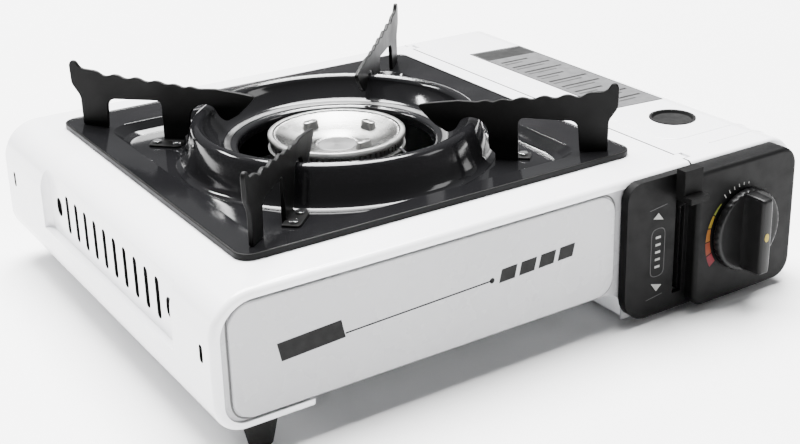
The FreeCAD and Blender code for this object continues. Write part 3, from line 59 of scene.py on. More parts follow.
class Shader:
    """A small helper for building a node material."""

    def __init__(self, name):
        self.mat = bpy.data.materials.new(name)
        self.mat.use_nodes = True
        self.tree = self.mat.node_tree
        self.bsdf = next(n for n in self.tree.nodes if n.type == "BSDF_PRINCIPLED")
        self.coords = self.node("ShaderNodeTexCoord").outputs["Object"]

    def node(self, kind, **values):
        item = self.tree.nodes.new(kind)
        for key, value in values.items():
            setattr(item, key, value)
        return item

    def join(self, out, into):
        self.tree.links.new(out, into)

    def mapped(self, scale):
        item = self.node("ShaderNodeMapping")
        item.inputs["Scale"].default_value = scale
        self.join(self.coords, item.inputs["Vector"])
        return item.outputs["Vector"]

    def noise(self, vector, scale, detail=3.0, rough=0.5):
        item = self.node("ShaderNodeTexNoise")
        item.inputs["Scale"].default_value = scale
        item.inputs["Detail"].default_value = detail
        item.inputs["Roughness"].default_value = rough
        self.join(vector, item.inputs["Vector"])
        return item.outputs["Fac"]

    def radial(self):
        """Distance from the piece's own upright axis."""
        parts = self.node("ShaderNodeSeparateXYZ")
        self.join(self.coords, parts.inputs[0])
        total = self.node("ShaderNodeMath", operation="ADD")
        for out, into in ((parts.outputs[0], total.inputs[0]), (parts.outputs[1], total.inputs[1])):
            square = self.node("ShaderNodeMath", operation="MULTIPLY")
            self.join(out, square.inputs[0])
            self.join(out, square.inputs[1])
            self.join(square.outputs[0], into)
        root = self.node("ShaderNodeMath", operation="SQRT")
        self.join(total.outputs[0], root.inputs[0])
        return root.outputs[0]

    def rings(self, distance, scale):
        item = self.node("ShaderNodeTexNoise", noise_dimensions="1D")
        item.inputs["Scale"].default_value = scale
        item.inputs["Detail"].default_value = 2.0
        self.join(distance, item.inputs["W"])
        return item.outputs["Fac"]

    def spread(self, fac, low, high):
        item = self.node("ShaderNodeMapRange")
        item.inputs["From Min"].default_value = 0.3
        item.inputs["From Max"].default_value = 0.7
        item.inputs["To Min"].default_value = low
        item.inputs["To Max"].default_value = high
        self.join(fac, item.inputs["Value"])
        return item.outputs["Result"]

    def tint(self, fac, one, two):
        item = self.node("ShaderNodeMix", data_type="RGBA")
        item.inputs["A"].default_value = (*one, 1)
        item.inputs["B"].default_value = (*two, 1)
        self.join(self.spread(fac, 0.0, 1.0), item.inputs["Factor"])
        return item.outputs["Result"]

    def bump(self, fac, strength, distance=0.0002):
        item = self.node("ShaderNodeBump")
        item.inputs["Strength"].default_value = strength
        item.inputs["Distance"].default_value = distance
        self.join(fac, item.inputs["Height"])
        soft = self.node("ShaderNodeBevel", samples=4)
        soft.inputs["Radius"].default_value = 0.0004
        self.join(soft.outputs["Normal"], item.inputs["Normal"])
        self.join(item.outputs["Normal"], self.bsdf.inputs["Normal"])

    def put(self, **values):
        for key, value in values.items():
            self.bsdf.inputs[key.replace("_", " ")].default_value = value


def enamel(name, one, two, rough, coat=0.0, peel=0.05, shine=0.5, patch=9.0):
    """Fired or sprayed paint: slow changes of tone and a faint orange peel."""
    s = Shader(name)
    slow = s.noise(s.mapped((1, 1, 1)), patch, 4)
    s.join(s.tint(slow, one, two), s.bsdf.inputs["Base Color"])
    s.join(s.spread(s.noise(s.coords, 60, 4), rough * 0.85, rough * 1.2), s.bsdf.inputs["Roughness"])
    s.bump(s.noise(s.coords, 900, 2), peel)
    s.put(Coat_Weight=coat, Coat_Roughness=0.04, Specular_IOR_Level=shine)
    return s.mat


def plated(name, one, two, rough, stretch=(1, 1, 40), scale=160, grain=0.12):
    """Drawn or plated sheet metal with a fine grain one way."""
    s = Shader(name)
    grainy = s.noise(s.mapped(stretch), scale, 4, 0.6)
    s.join(s.tint(grainy, one, two), s.bsdf.inputs["Base Color"])
    s.join(s.spread(s.noise(s.coords, 35, 5), rough * 0.75, rough * 1.3), s.bsdf.inputs["Roughness"])
    s.bump(grainy, grain)
    s.put(Metallic=1.0)
    return s.mat


def turned(name, one, two, rough, grain=0.15, sheen=0.75):
    """Turned metal: fine rings about the piece's own axis, with the streaked shine they give."""
    s = Shader(name)
    rings = s.rings(s.radial(), 1700)
    s.join(s.tint(rings, one, two), s.bsdf.inputs["Base Color"])
    s.join(s.spread(s.noise(s.coords, 70, 4), rough * 0.8, rough * 1.25), s.bsdf.inputs["Roughness"])
    s.bump(rings, grain)
    around = s.node("ShaderNodeTangent", direction_type="RADIAL", axis="Z")
    s.join(around.outputs["Tangent"], s.bsdf.inputs["Tangent"])
    s.put(Metallic=1.0, Anisotropic=sheen)
    return s.mat


def moulded(name, one, two, rough, grain=0.06, scale=1500, coat=0.0, shine=0.5):
    """Moulded plastic or rubber with a fine grain and faint handling marks."""
    s = Shader(name)
    s.join(s.tint(s.noise(s.coords, 45, 5), one, two), s.bsdf.inputs["Base Color"])
    s.join(s.spread(s.noise(s.coords, 130, 5, 0.7), rough * 0.8, rough * 1.25), s.bsdf.inputs["Roughness"])
    s.bump(s.noise(s.coords, scale, 2), grain)
    s.put(Coat_Weight=coat, Coat_Roughness=0.05, Specular_IOR_Level=shine)
    return s.mat


def inked(name, one, two, rough=0.45, shine=0.1):
    """Printed ink on paint or plastic, slightly uneven."""
    s = Shader(name)
    s.join(s.tint(s.noise(s.coords, 260, 4), one, two), s.bsdf.inputs["Base Color"])
    s.join(s.spread(s.noise(s.coords, 90, 3), rough * 0.85, rough * 1.15), s.bsdf.inputs["Roughness"])
    s.put(Specular_IOR_Level=shine)
    return s.mat


WHITE = enamel("white_enamel", (0.83, 0.83, 0.85), (0.88, 0.88, 0.90), 0.22, 0.35, 0.03)
# Grey enamel for the front and rear plates: partly their own grey tone, partly painted shade for the front
# face.
FRONT_PAINT_AND_SHADE = enamel("front_enamel_and_shade", (0.33, 0.33, 0.34), (0.37, 0.37, 0.38), 0.26, 0.3, 0.03)
BLACK = enamel("black_enamel", (0.004, 0.004, 0.0045), (0.008, 0.008, 0.0085), 0.10, 0.0, 0.05)
BLACK_ARM = enamel("support_enamel", (0.003, 0.003, 0.003), (0.005, 0.005, 0.005), 0.44, 0.0, 0.10, 0.09)
STEEL = plated("plated_steel", (0.52, 0.52, 0.53), (0.66, 0.66, 0.67), 0.32)
BRIGHT = plated("bright_steel", (0.60, 0.60, 0.61), (0.74, 0.74, 0.75), 0.20, (30, 30, 1), 220)
PLASTIC = moulded("facia_plastic", (0.0020, 0.0020, 0.0021), (0.0036, 0.0036, 0.0037), 0.46,
                  0.05, 1500, 0.0, 0.07)
KNOB_BLACK = moulded("knob_plastic", (0.0026, 0.0026, 0.0027), (0.0045, 0.0045, 0.0046), 0.36,
                     0.08, 1500, 0.0, 0.13)
LEVER_BLACK = moulded("lever_plastic", (0.0020, 0.0020, 0.0020), (0.0034, 0.0034, 0.0034), 0.55,
                      0.06, 1500, 0.0, 0.06)
RUBBER = moulded("foot_rubber", (0.006, 0.006, 0.006), (0.012, 0.012, 0.011), 0.62, 0.25, 700, 0.0, 0.12)
# Matt black: the finger cup's own colour, and painted shade in the dark liners of the vents, slots and the
# lid's gap.
MATT_BLACK_AND_SHADE = moulded("matt_black_and_shade", (0.003, 0.003, 0.003), (0.005, 0.005, 0.005), 0.7, 0.1, 900, 0.0, 0.1)
CAST = moulded("cast_alloy", (0.36, 0.36, 0.36), (0.48, 0.48, 0.48), 0.45, 0.4, 500)
CAST.node_tree.nodes["Principled BSDF"].inputs["Metallic"].default_value = 1.0
BURNER = turned("burner_metal", (0.20, 0.20, 0.20), (0.32, 0.32, 0.31), 0.27, 0.15, 0.85)
BURNER_EDGE = turned("burner_rim_metal", (0.22, 0.22, 0.22), (0.36, 0.36, 0.35), 0.34, 0.15, 0.3)
BRASS = plated("brass", (0.62, 0.45, 0.16), (0.78, 0.60, 0.26), 0.28)
CERAMIC = enamel("ceramic", (0.70, 0.68, 0.62), (0.78, 0.76, 0.70), 0.25, 0.3, 0.02)
GALVANISED = plated("galvanised_sheet", (0.50, 0.51, 0.52), (0.62, 0.63, 0.64), 0.38, (1, 1, 1), 60, 0.05)
SHELF_METAL = turned("shelf_metal", (0.06, 0.06, 0.06), (0.10, 0.10, 0.10), 0.42, 0.2, 0.2)
# Dark metal for the boss dimples: painted shade in their hollows.
DIMPLE_SHADE_METAL = turned("dimple_shade_metal", (0.03, 0.03, 0.03), (0.06, 0.06, 0.06), 0.4, 0.2, 0.2)
PLUG_METAL = turned("plug_metal", (0.09, 0.09, 0.09), (0.15, 0.15, 0.15), 0.42, 0.2, 0.3)
# Painted shade: a dark line standing for the shadow in the crease round the front plate's raised field.
JOINT_SHADE = moulded("joint_shadow", (0.06, 0.06, 0.06), (0.09, 0.09, 0.09), 0.6)
PALE_INK = inked("pale_ink", (0.22, 0.22, 0.21), (0.30, 0.30, 0.29))
GREY_INK = inked("grey_ink", (0.035, 0.035, 0.035), (0.055, 0.055, 0.055))
BLACK_INK = inked("black_ink", (0.004, 0.004, 0.004), (0.009, 0.009, 0.009), 0.4, 0.08)
YELLOW_INK = inked("yellow_ink", (0.26, 0.20, 0.03), (0.36, 0.29, 0.05))
LABEL_GREY = inked("label_grey", (0.075, 0.075, 0.077), (0.10, 0.10, 0.102))
LABEL_DARK = inked("label_dark", (0.010, 0.010, 0.010), (0.018, 0.018, 0.018))
LABEL_MID = inked("label_mid", (0.028, 0.028, 0.028), (0.045, 0.045, 0.045))
SCALE_INKS = [inked("scale_ink_%d" % i, c, tuple(v * 1.3 for v in c)) for i, c in enumerate((
    (0.085, 0.095, 0.018), (0.125, 0.085, 0.010), (0.125, 0.048, 0.009), (0.10, 0.020, 0.008),
    (0.085, 0.006, 0.010)))]

NODE_MATERIALS = {
    "body_shell": WHITE, "front_plate": FRONT_PAINT_AND_SHADE, "rear_plate": FRONT_PAINT_AND_SHADE, "lid": WHITE,
    "base_plate": GALVANISED, "compartment_trough": WHITE, "heat_partition": GALVANISED,
    "cartridge_cradle": GALVANISED, "control_panel": PLASTIC, "foot_front_left": RUBBER,
    "foot_rear_left": RUBBER, "foot_front_right": RUBBER, "foot_rear_right": RUBBER,
    "foot_screws": BRIGHT, "panel_screws": BRIGHT, "lid_hinge_pins": BRIGHT, "burner_base": CAST,
    "burner_ring": BURNER_EDGE, "burner_cap": BURNER, "burner_clips": BURNER_EDGE,
    "burner_bracket": STEEL, "mixing_tube": STEEL, "air_shutter": STEEL, "gas_jet": BRASS,
    "valve_body": CAST, "diaphragm_cover": STEEL, "inlet_seat": BRASS, "inlet_seal": RUBBER,
    "collar_locator": STEEL, "valve_bracket": STEEL, "igniter_body": PLASTIC,
    "electrode_insulator": CERAMIC, "igniter_electrode": BRIGHT, "igniter_lead": RUBBER,
    "lever_pin": BRIGHT, "lever_bracket": STEEL, "lever_spring": BRIGHT, "pusher_guides": STEEL,
    "finger_cup": MATT_BLACK_AND_SHADE, "drip_pan": BLACK, "pan_support_rear_right": BLACK_ARM,
    "pan_support_rear_left": BLACK_ARM, "pan_support_front_left": BLACK_ARM,
    "pan_support_front_right": BLACK_ARM, "support_rivets": BRIGHT, "knob": KNOB_BLACK,
    "valve_spindle": BRIGHT, "igniter_cam": PLASTIC, "lock_lever": LEVER_BLACK,
    "cartridge_pusher": STEEL,
}
for node_name, node_material in NODE_MATERIALS.items():
    node = NODES[node_name]
    node.data.materials.clear()
    node.data.materials.append(node_material)


# Mesh helpers, in millimetres

def mesh_piece(name, verts, faces, material, body, angle=35.0, bevel=0.0, segments=2, replaces=(),
               origin=(0, 0, 0)):
    mesh = bpy.data.meshes.new(name)
    mesh.from_pydata([(Vector(v) - Vector(origin)) * MM for v in verts], [], faces)
    work = bmesh.new()
    work.from_mesh(mesh)
    bmesh.ops.remove_doubles(work, verts=work.verts, dist=1e-6)
    bmesh.ops.recalc_face_normals(work, faces=work.faces)
    work.to_mesh(mesh)
    work.free()
    mesh.shade_smooth()
    mesh.set_sharp_from_angle(angle=math.radians(angle))
    mesh.materials.append(material)
    item = bpy.data.objects.new(name, mesh)
    bpy.context.scene.collection.objects.link(item)
    item.location = Vector(origin) * MM
    if bevel:
        soft = item.modifiers.new("soft_edges", "BEVEL")
        soft.width = bevel * MM
        soft.segments = segments
        soft.limit_method = "ANGLE"
        soft.angle_limit = math.radians(angle)
        soft.harden_normals = True
    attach(item, body)
    if replaces:
        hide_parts(*replaces)
    return item


def oblong(left, low, right, high):
    """The four corners of an upright rectangle."""
    return [(left, low), (right, low), (right, high), (left, high)]


def rounded(points, radius, steps=5):
    """An outline with rounded corners; radius is one number or one for each corner."""
    out, share = [], 0.48
    for i, point in enumerate(points):
        reach = radius[i] if isinstance(radius, (list, tuple)) else radius
        here, before, after = Vector(point), Vector(points[i - 1]), Vector(points[(i + 1) % len(points)])
        if reach <= 0:
            out.append(here)
            continue
        back, on = before - here, after - here
        half = max(back.angle(on) / 2, 0.05)
        leg = min(reach / math.tan(half), share * back.length, share * on.length)
        start, end = here + back.normalized() * leg, here + on.normalized() * leg
        for k in range(steps + 1):
            f = k / steps
            out.append(start * (1 - f) ** 2 + here * 2 * f * (1 - f) + end * f ** 2)
    return out


def slab(name, outline, place, depth, material, body, **more):
    """A flat plate: place(u, v) gives the front of each outline point, depth is the way through."""
    front = [Vector(place(*p)) for p in outline]
    back = [p + Vector(depth) for p in front]
    count = len(front)
    faces = [tuple(range(count)), tuple(reversed(range(count, 2 * count)))]
    faces += [(i, (i + 1) % count, count + (i + 1) % count, count + i) for i in range(count)]
    return mesh_piece(name, front + back, faces, material, body, **more)


def hoop(name, outer, inner, place, depth, material, body, **more):
    """A flat ring between two outlines with the same number of points."""
    front = [Vector(place(*p)) for p in outer + inner]
    count = len(outer)
    faces = []
    for i in range(count):
        j = (i + 1) % count
        faces += [(i, j, count + j, count + i),
                  (2 * count + i, 3 * count + i, 3 * count + j, 2 * count + j),
                  (i, 2 * count + i, 2 * count + j, j),
                  (count + i, count + j, 3 * count + j, 3 * count + i)]
    return mesh_piece(name, front + [p + Vector(depth) for p in front], faces, material, body, **more)


def even_columns(count):
    """Columns for lathe, evenly round the axis."""
    return [(2 * math.pi * i / count, None) for i in range(count)]


def lathe(name, profile, material, body, centre=(PAN_X, PAN_Y), columns=None, **more):
    """A turned piece from a closed profile of (radius, z).

    Each column is an angle and, where the radius changes on some rows, a function that gives the change.
    """
    if columns is None:
        columns = even_columns(144)
    verts, rows = [], []
    for row, (radius, z) in enumerate(profile):
        ring = []
        for angle, change in columns:
            r = radius + (change(row) if change else 0.0)
            ring.append(len(verts))
            verts.append((centre[0] + r * math.cos(angle), centre[1] + r * math.sin(angle), z))
            if radius == 0:
                break
        rows.append(ring)
    faces = []
    count = len(columns)
    for one, two in zip(rows, rows[1:] + rows[:1]):
        for i in range(count):
            j = (i + 1) % count
            if len(one) == 1 and len(two) == 1:
                continue
            if len(one) == 1:
                faces.append((one[0], two[i], two[j]))
            elif len(two) == 1:
                faces.append((one[i], one[j], two[0]))
            else:
                faces.append((one[i], one[j], two[j], two[i]))
    return mesh_piece(name, verts, faces, material, body, origin=(*centre, 0), **more)


def tube(name, points, radius, material, body, sides=10, **more):
    """A round bar along an open line of points."""
    points = [Vector(p) for p in points]
    last = len(points) - 1
    verts, faces = [], []
    for i, point in enumerate(points):
        way = (points[min(i + 1, last)] - points[max(i - 1, 0)]).normalized()
        side = way.orthogonal().normalized() if i == 0 else (side - way * side.dot(way)).normalized()
        up = way.cross(side)
        for k in range(sides):
            a = 2 * math.pi * k / sides
            verts.append(point + side * radius * math.cos(a) + up * radius * math.sin(a))
    for i in range(last):
        for k in range(sides):
            m = (k + 1) % sides
            faces.append((i * sides + k, i * sides + m, (i + 1) * sides + m, (i + 1) * sides + k))
    faces.append(tuple(range(sides)))
    faces.append(tuple(reversed(range(last * sides, (last + 1) * sides))))
    return mesh_piece(name, verts, faces, material, body, **more)


def loft(name, rings, material, body, **more):
    """A skin over rings with the same number of points, closed by a flat face at each end."""
    verts = [point for ring in rings for point in ring]
    count, last = len(rings[0]), len(rings) - 1
    faces = []
    for row in range(last):
        for k in range(count):
            m = (k + 1) % count
            faces.append((row * count + k, row * count + m, (row + 1) * count + m, (row + 1) * count + k))
    faces.append(tuple(range(count)))
    faces.append(tuple(range(last * count, (last + 1) * count)))
    return mesh_piece(name, verts, faces, material, body, **more)


def ring_points(centre, radius, start, end, count):
    """Points along an arc, with its angles in degrees."""
    return [(centre[0] + radius * math.cos(math.radians(start + (end - start) * i / count)),
             centre[1] + radius * math.sin(math.radians(start + (end - start) * i / count)))
            for i in range(count + 1)]


# Burner

def burner_crown():
    """The flame ring: a plain band, a row of fine slots and the flat rim."""
    profile = [(30.0, 76.0), (35.8, 76.0), (36.2, 76.4), (36.2, 77.3), (35.8, 77.7), (35.2, 77.9),
               (35.2, 78.2), (35.2, 78.3), (35.2, 81.3), (35.2, 81.4), (35.3, 81.7), (35.9, 81.9),
               (36.2, 82.3), (36.2, 84.1), (36.0, 84.45), (35.6, 84.6), (33.8, 84.6), (33.5, 84.5),
               (33.4, 84.2), (33.4, 77.5), (30.0, 77.5)]
    slot_rows, slot_depth, slot_count = (7, 8), 1.5, 72
    tooth_end, slot_start, slot_end = 0.55, 0.60, 0.95

    def deep(row):
        return -slot_depth if row in slot_rows else 0.0

    columns = []
    step = 2 * math.pi / slot_count
    for i in range(slot_count):
        base = 2 * math.pi * i / slot_count
        columns += [(base, None), (base + step * tooth_end, None), (base + step * slot_start, deep),
                    (base + step * slot_end, deep)]
    lathe("burner_crown", profile, BURNER_EDGE, "casing", columns=columns, replaces=("burner_ring",))


def burner_bowl():
    """The spun dish inside the flame ring, with its flat middle."""
    profile = [(0, 76.7), (10.9, 76.7), (11.5, 76.8), (12.1, 77.2), (13.0, 77.8), (18.0, 79.1),
               (24.0, 80.9), (29.5, 82.9), (31.8, 83.9), (32.6, 84.15), (33.05, 84.1), (33.05, 83.4),
               (31.5, 82.8), (24.0, 79.9), (13.0, 76.6), (11.5, 75.6), (0, 75.6)]
    lathe("burner_bowl", profile, BURNER, "casing", replaces=("burner_cap",))


BOSS_TURNS = [math.radians(10 + 90 * number) for number in range(4)]
BOSS_REACH = 22.0


def boss_frame(turn):
    """A boss's middle on the burner, the way outwards and the way sideways."""
    out = Vector((math.cos(turn), math.sin(turn), 0))
    side = Vector((-math.sin(turn), math.cos(turn), 0))
    return Vector((PAN_X, PAN_Y, 0)) + out * BOSS_REACH, out, side


def stack(verts, faces, rings):
    """Adds a closed form made of rings of points, from its foot to its top."""
    base, count = len(verts), len(rings[0])
    for ring in rings:
        verts += ring
    for level in range(len(rings) - 1):
        for i in range(count):
            j = (i + 1) % count
            a, b = base + level * count, base + (level + 1) * count
            faces.append((a + i, a + j, b + j, b + i))
    faces.append(tuple(base + (len(rings) - 1) * count + i for i in range(count)))
    faces.append(tuple(reversed([base + i for i in range(count)])))


def burner_bosses():
    """Four raised bosses on the dish, long across it."""
    half_long, end_radius, corners = 2.45, 2.15, 20
    levels = [(1.3, 77.6), (1.1, 80.4), (1.0, 82.6), (0.98, 83.7), (0.9, 84.1), (0.78, 84.3)]
    verts, faces = [], []
    for turn in BOSS_TURNS:
        centre, out, side = boss_frame(turn)
        outline = []
        for k in range(corners):
            a = 2 * math.pi * (k + 0.5) / corners
            across = math.copysign(half_long, math.cos(a)) + end_radius * math.cos(a)
            outline.append(out * end_radius * math.sin(a) + side * across)
        stack(verts, faces, [[centre + p * scale + Vector((0, 0, z)) for p in outline]
                             for scale, z in levels])
    mesh_piece("burner_bosses", verts, faces, BURNER_EDGE, "casing", angle=50, replaces=("burner_clips",),
               origin=(PAN_X, PAN_Y, 0))


def boss_dimples():
    """Two small dimples with raised rims in the top of each boss, dark as painted shade for the hollows."""
    boss_top, shift, corners = 84.32, 2.2, 16
    rim = ((1.15, -0.05), (1.05, 0.12), (0.85, 0.1), (0.45, -0.02))
    verts, faces = [], []
    for turn in BOSS_TURNS:
        centre, _, side = boss_frame(turn)
        for way in (-shift, shift):
            middle = centre + side * way + Vector((0, 0, boss_top))
            stack(verts, faces, [[middle + Vector((radius * math.cos(a), radius * math.sin(a), z))
                                  for a in (2 * math.pi * k / corners for k in range(corners))]
                                 for radius, z in rim])
    mesh_piece("boss_dimples", verts, faces, DIMPLE_SHADE_METAL, "casing", angle=60, origin=(PAN_X, PAN_Y, 0))


def burner_plug():
    """The flat disc in the middle of the dish."""
    profile = [(0, 76.98), (9.6, 76.98), (10.4, 76.9), (10.7, 76.7), (10.7, 76.5), (0, 76.5)]
    lathe("burner_plug", profile, PLUG_METAL, "casing")


# Pan

def pan_collar():
    """The smooth enamelled skin of the raised collar, with its rolled crest."""
    crest, middle, roll = 72.2, 89.9, 3.68
    outer = [(51.7, 74.5), (51.68, 77.6), (51.75, 78.6), (52.1, 79.4), (52.8, 80.0), (54.0, 80.25),
             (58.0, 80.65)]
    outer += [(60.2, 81.0), (61.6, 81.6), (62.9, 82.9), (64.4, 84.7), (66.6, 87.2)]
    outer += [(crest + roll * math.cos(math.radians(a)), middle + roll * math.sin(math.radians(a)))
              for a in range(170, 15, -10)]
    outer += [(76.9, 86.9), (78.2, 82.3), (79.2, 78.9), (79.8, 77.0), (80.4, 75.5), (81.2, 74.3),
              (82.3, 73.55), (84.2, 73.2)]
    inner = [(84.2, 72.9), (82.0, 72.8), (79.6, 73.9), (75.7, 88.0), (74.4, 91.4), (72.2, 92.5),
             (70.0, 91.3), (67.0, 86.2), (61.2, 80.4), (58.1, 79.8), (53.4, 79.1), (52.5, 78.4),
             (52.5, 74.6)]
    lathe("pan_collar", outer + inner, BLACK, "pan", columns=even_columns(216), angle=50)


def square_outline(half, corner, steps=8):
    """A square with round corners about the pan's axis."""
    points = []
    for number, (sx, sy) in enumerate(((1, 1), (-1, 1), (-1, -1), (1, -1))):
        points += ring_points((PAN_X + sx * (half - corner), PAN_Y + sy * (half - corner)), corner,
                              90 * number, 90 * number + 90, steps)
    return points


def pan_edge():
    """The satin rim round the pan's square edge, just above the deck."""
    half, corner, wide, top, tall = 110.25, 8.25, 1.25, 82.1, 3.0
    hoop("pan_edge", square_outline(half, corner), square_outline(half - wide, corner - wide),
         lambda u, v: (u, v, top), (0, 0, -tall), BLACK_ARM, "pan", bevel=0.4, segments=3, angle=50)


def shelf_ring():
    """The dull metal ring on the shelf inside the collar."""
    profile = [(55.6, 80.35), (55.6, 80.7), (56.2, 80.95), (58.2, 81.2), (58.8, 81.2), (59.0, 80.85),
               (58.4, 80.7), (56.2, 80.45)]
    lathe("shelf_ring", profile, SHELF_METAL, "pan")


# Pan supports

ARM_OUTLINE = (
    (81.5, 79.0), (84.5, 76.5), (84.5, 73.0), (96.5, 73.0), (96.5, 94.5), (98.3, 96.3), (124.5, 96.0),
    (127.0, 93.5), (128.0, 79.5), (142.3, 81.1), (142.5, 97.0), (147.0, 104.0), (147.4, 114.5),
    (146.2, 116.8), (143.4, 116.6), (141.0, 112.5), (132.0, 111.5), (127.5, 108.3), (121.4, 110.4),
    (115.0, 107.3), (109.7, 109.2), (103.5, 106.2), (98.4, 107.8), (92.8, 105.4), (88.3, 106.2),
    (83.0, 104.1), (79.7, 105.2), (75.3, 103.9), (65.4, 104.2), (52.0, 102.5), (45.0, 101.2), (44.2, 99.8),
    (47.2, 96.4), (53.1, 90.5), (60.0, 86.3), (64.0, 88.6), (67.0, 94.4), (71.5, 95.6), (76.5, 94.6),
    (80.4, 90.0))
ARMS = (("rear_right", 45.0), ("rear_left", 135.0), ("front_left", 225.0), ("front_right", 315.0))


def pan_supports():
    """Each pan support: a wavy blade, its foot on the pan floor and the fillet between them."""
    half_sheet, soft, sharp, low_end = 1.1, 7.0, 0.8, 82.0
    outline = rounded(ARM_OUTLINE, [sharp if z < low_end else soft for rho, z in ARM_OUTLINE], 6)
    foot = rounded(oblong(84.5, 0.7, 102.5, 9.7), [0.0, 0.0, 3.0, 3.0], 6)
    web = [(0.9, 74.0), (2.4, 74.1), (1.5, 74.5), (1.15, 75.0), (1.0, 76.0), (0.9, 76.4)]
    web_start, web_long = 84.7, 11.6
    centre = Vector((PAN_X, PAN_Y, 0))
    for name, turn in ARMS:
        way = Vector((math.cos(math.radians(turn)), math.sin(math.radians(turn)), 0))
        side = Vector((-way.y, way.x, 0))
        slab("support_blade_" + name, outline,
             lambda u, v: centre + way * u - side * half_sheet + Vector((0, 0, v)),
             side * 2 * half_sheet, BLACK_ARM, "pan", bevel=0.55, segments=3, angle=40,
             replaces=("pan_support_" + name,))
        slab("support_foot_" + name, foot,
             lambda u, v: centre + way * u + side * v + Vector((0, 0, PAN_FLOOR)), (0, 0, SHEET), BLACK_ARM,
             "pan", bevel=0.35, angle=40)
        slab("support_fillet_" + name, web,
             lambda u, v: centre + way * web_start + side * u + Vector((0, 0, v)), way * web_long,
             BLACK_ARM, "pan", angle=60)


# Knob

def knob_dish():
    """The round of the knob: a shallow dish with a ribbed rim."""
    back, front, outside, corners = -132.5, -136.5, 22.0, 180
    ribbed_from, rib_deep, rib_pitch, rib_gap = 21.5, 0.28, 5, (3, 4)
    profile = [(0.0, back), (21.6, back), (outside, back - 0.4), (outside, front + 1.0),
               (21.4, front + 0.2), (20.6, front), (19.2, front + 0.35), (8.0, front + 0.8),
               (0.0, front + 0.8)]
    rings = []
    for radius, y in profile:
        ring = []
        for k in range(corners):
            a = 2 * math.pi * k / corners
            rib = rib_deep if radius > ribbed_from and k % rib_pitch in rib_gap else 0.0
            r = max(radius - rib, 0.01)
            ring.append((KNOB_X + r * math.cos(a), y, KNOB_Z + r * math.sin(a)))
        rings.append(ring)
    loft("knob_dish", rings, KNOB_BLACK, "knob", angle=40, replaces=("knob",))


def knob_grip():
    """The tall bar across the dish, with a soft front; a row is y, half the width and half the height."""
    rows = ((-135.6, 4.9, 21.0), (-137.2, 4.4, 20.9), (-140.0, 4.0, 20.8), (-146.2, 3.7, 20.6),
            (-147.4, 3.45, 20.35), (-148.05, 3.0, 19.9), (-148.3, 2.4, 19.2))
    corners, power = 40, 0.22
    rings = []
    for y, half, tall in rows:
        ring = []
        for k in range(corners):
            a = 2 * math.pi * (k + 0.5) / corners
            u = math.copysign(abs(math.cos(a)) ** power, math.cos(a)) * half
            v = math.copysign(abs(math.sin(a)) ** power, math.sin(a)) * tall
            ring.append((KNOB_X + u, y, KNOB_Z + v))
        rings.append(ring)
    loft("knob_grip", rings, KNOB_BLACK, "knob", angle=50)


def knob_mark():
    """The small yellow oval on the front of the grip."""
    half, tall, corners, face = 1.5, 2.3, 24, -148.45
    mark = [(KNOB_X + half * math.cos(2 * math.pi * k / corners),
             KNOB_Z + tall * math.sin(2 * math.pi * k / corners)) for k in range(corners)]
    slab("knob_mark", mark, lambda u, v: (u, face, v), (0, 0.3, 0), YELLOW_INK, "knob")


# Printing, kept to plain shapes

def front_print(name, outline, face, material):
    """Ink on a face square to Y, a hair proud of it."""
    slab(name, outline, lambda u, v: (u, face - PROUD, v), (0, INK_DEEP, 0), material, "casing")


def stroke(x0, z0, x1, z1, wide):
    """The corners of a straight line from one point to another, with its width."""
    way = Vector((x1 - x0, z1 - z0)).normalized()
    side = Vector((-way.y, way.x)) * wide / 2
    return [(x0 - side.x, z0 - side.y), (x1 - side.x, z1 - side.y), (x1 + side.x, z1 + side.y),
            (x0 + side.x, z0 + side.y)]


def band(centre, start, end, inner, outer, steps):
    """An arc between two angles whose inner and outer radius may change along it."""
    out = []
    for ends, order in ((outer, range(steps + 1)), (inner, reversed(range(steps + 1)))):
        for k in order:
            f = k / steps
            a = math.radians(start + (end - start) * f)
            r = ends[0] + (ends[1] - ends[0]) * f
            out.append((centre[0] + r * math.cos(a), centre[1] + r * math.sin(a)))
    return out


def knob_scale():
    """Five coloured fields that widen round the knob, and six ticks above it."""
    fields = ((134, 150), (151.5, 167), (168.5, 184), (185.5, 201), (202.5, 216))
    inside, outside, gain, gain_turn = 23.2, 23.9, 0.9, 20
    first = fields[0][0]
    for number, (start, end) in enumerate(fields):
        grow = [outside + gain * (a - first) / gain_turn for a in (start, end)]
        front_print("scale_%d" % number,
                    band((KNOB_X, KNOB_Z), start, end, (inside, inside), grow, 8), DIAL_FACE,
                    SCALE_INKS[number])
    tick_start, tick_end, longer, tick_wide = 23.6, 25.0, 0.2, 0.5
    for number in range(6):
        a = math.radians(84 + 8 * number)
        reach = tick_end + longer * number
        line = stroke(KNOB_X + tick_start * math.cos(a), KNOB_Z + tick_start * math.sin(a),
                      KNOB_X + reach * math.cos(a), KNOB_Z + reach * math.sin(a), tick_wide)
        front_print("scale_tick_%d" % number, line, DIAL_FACE, PALE_INK)


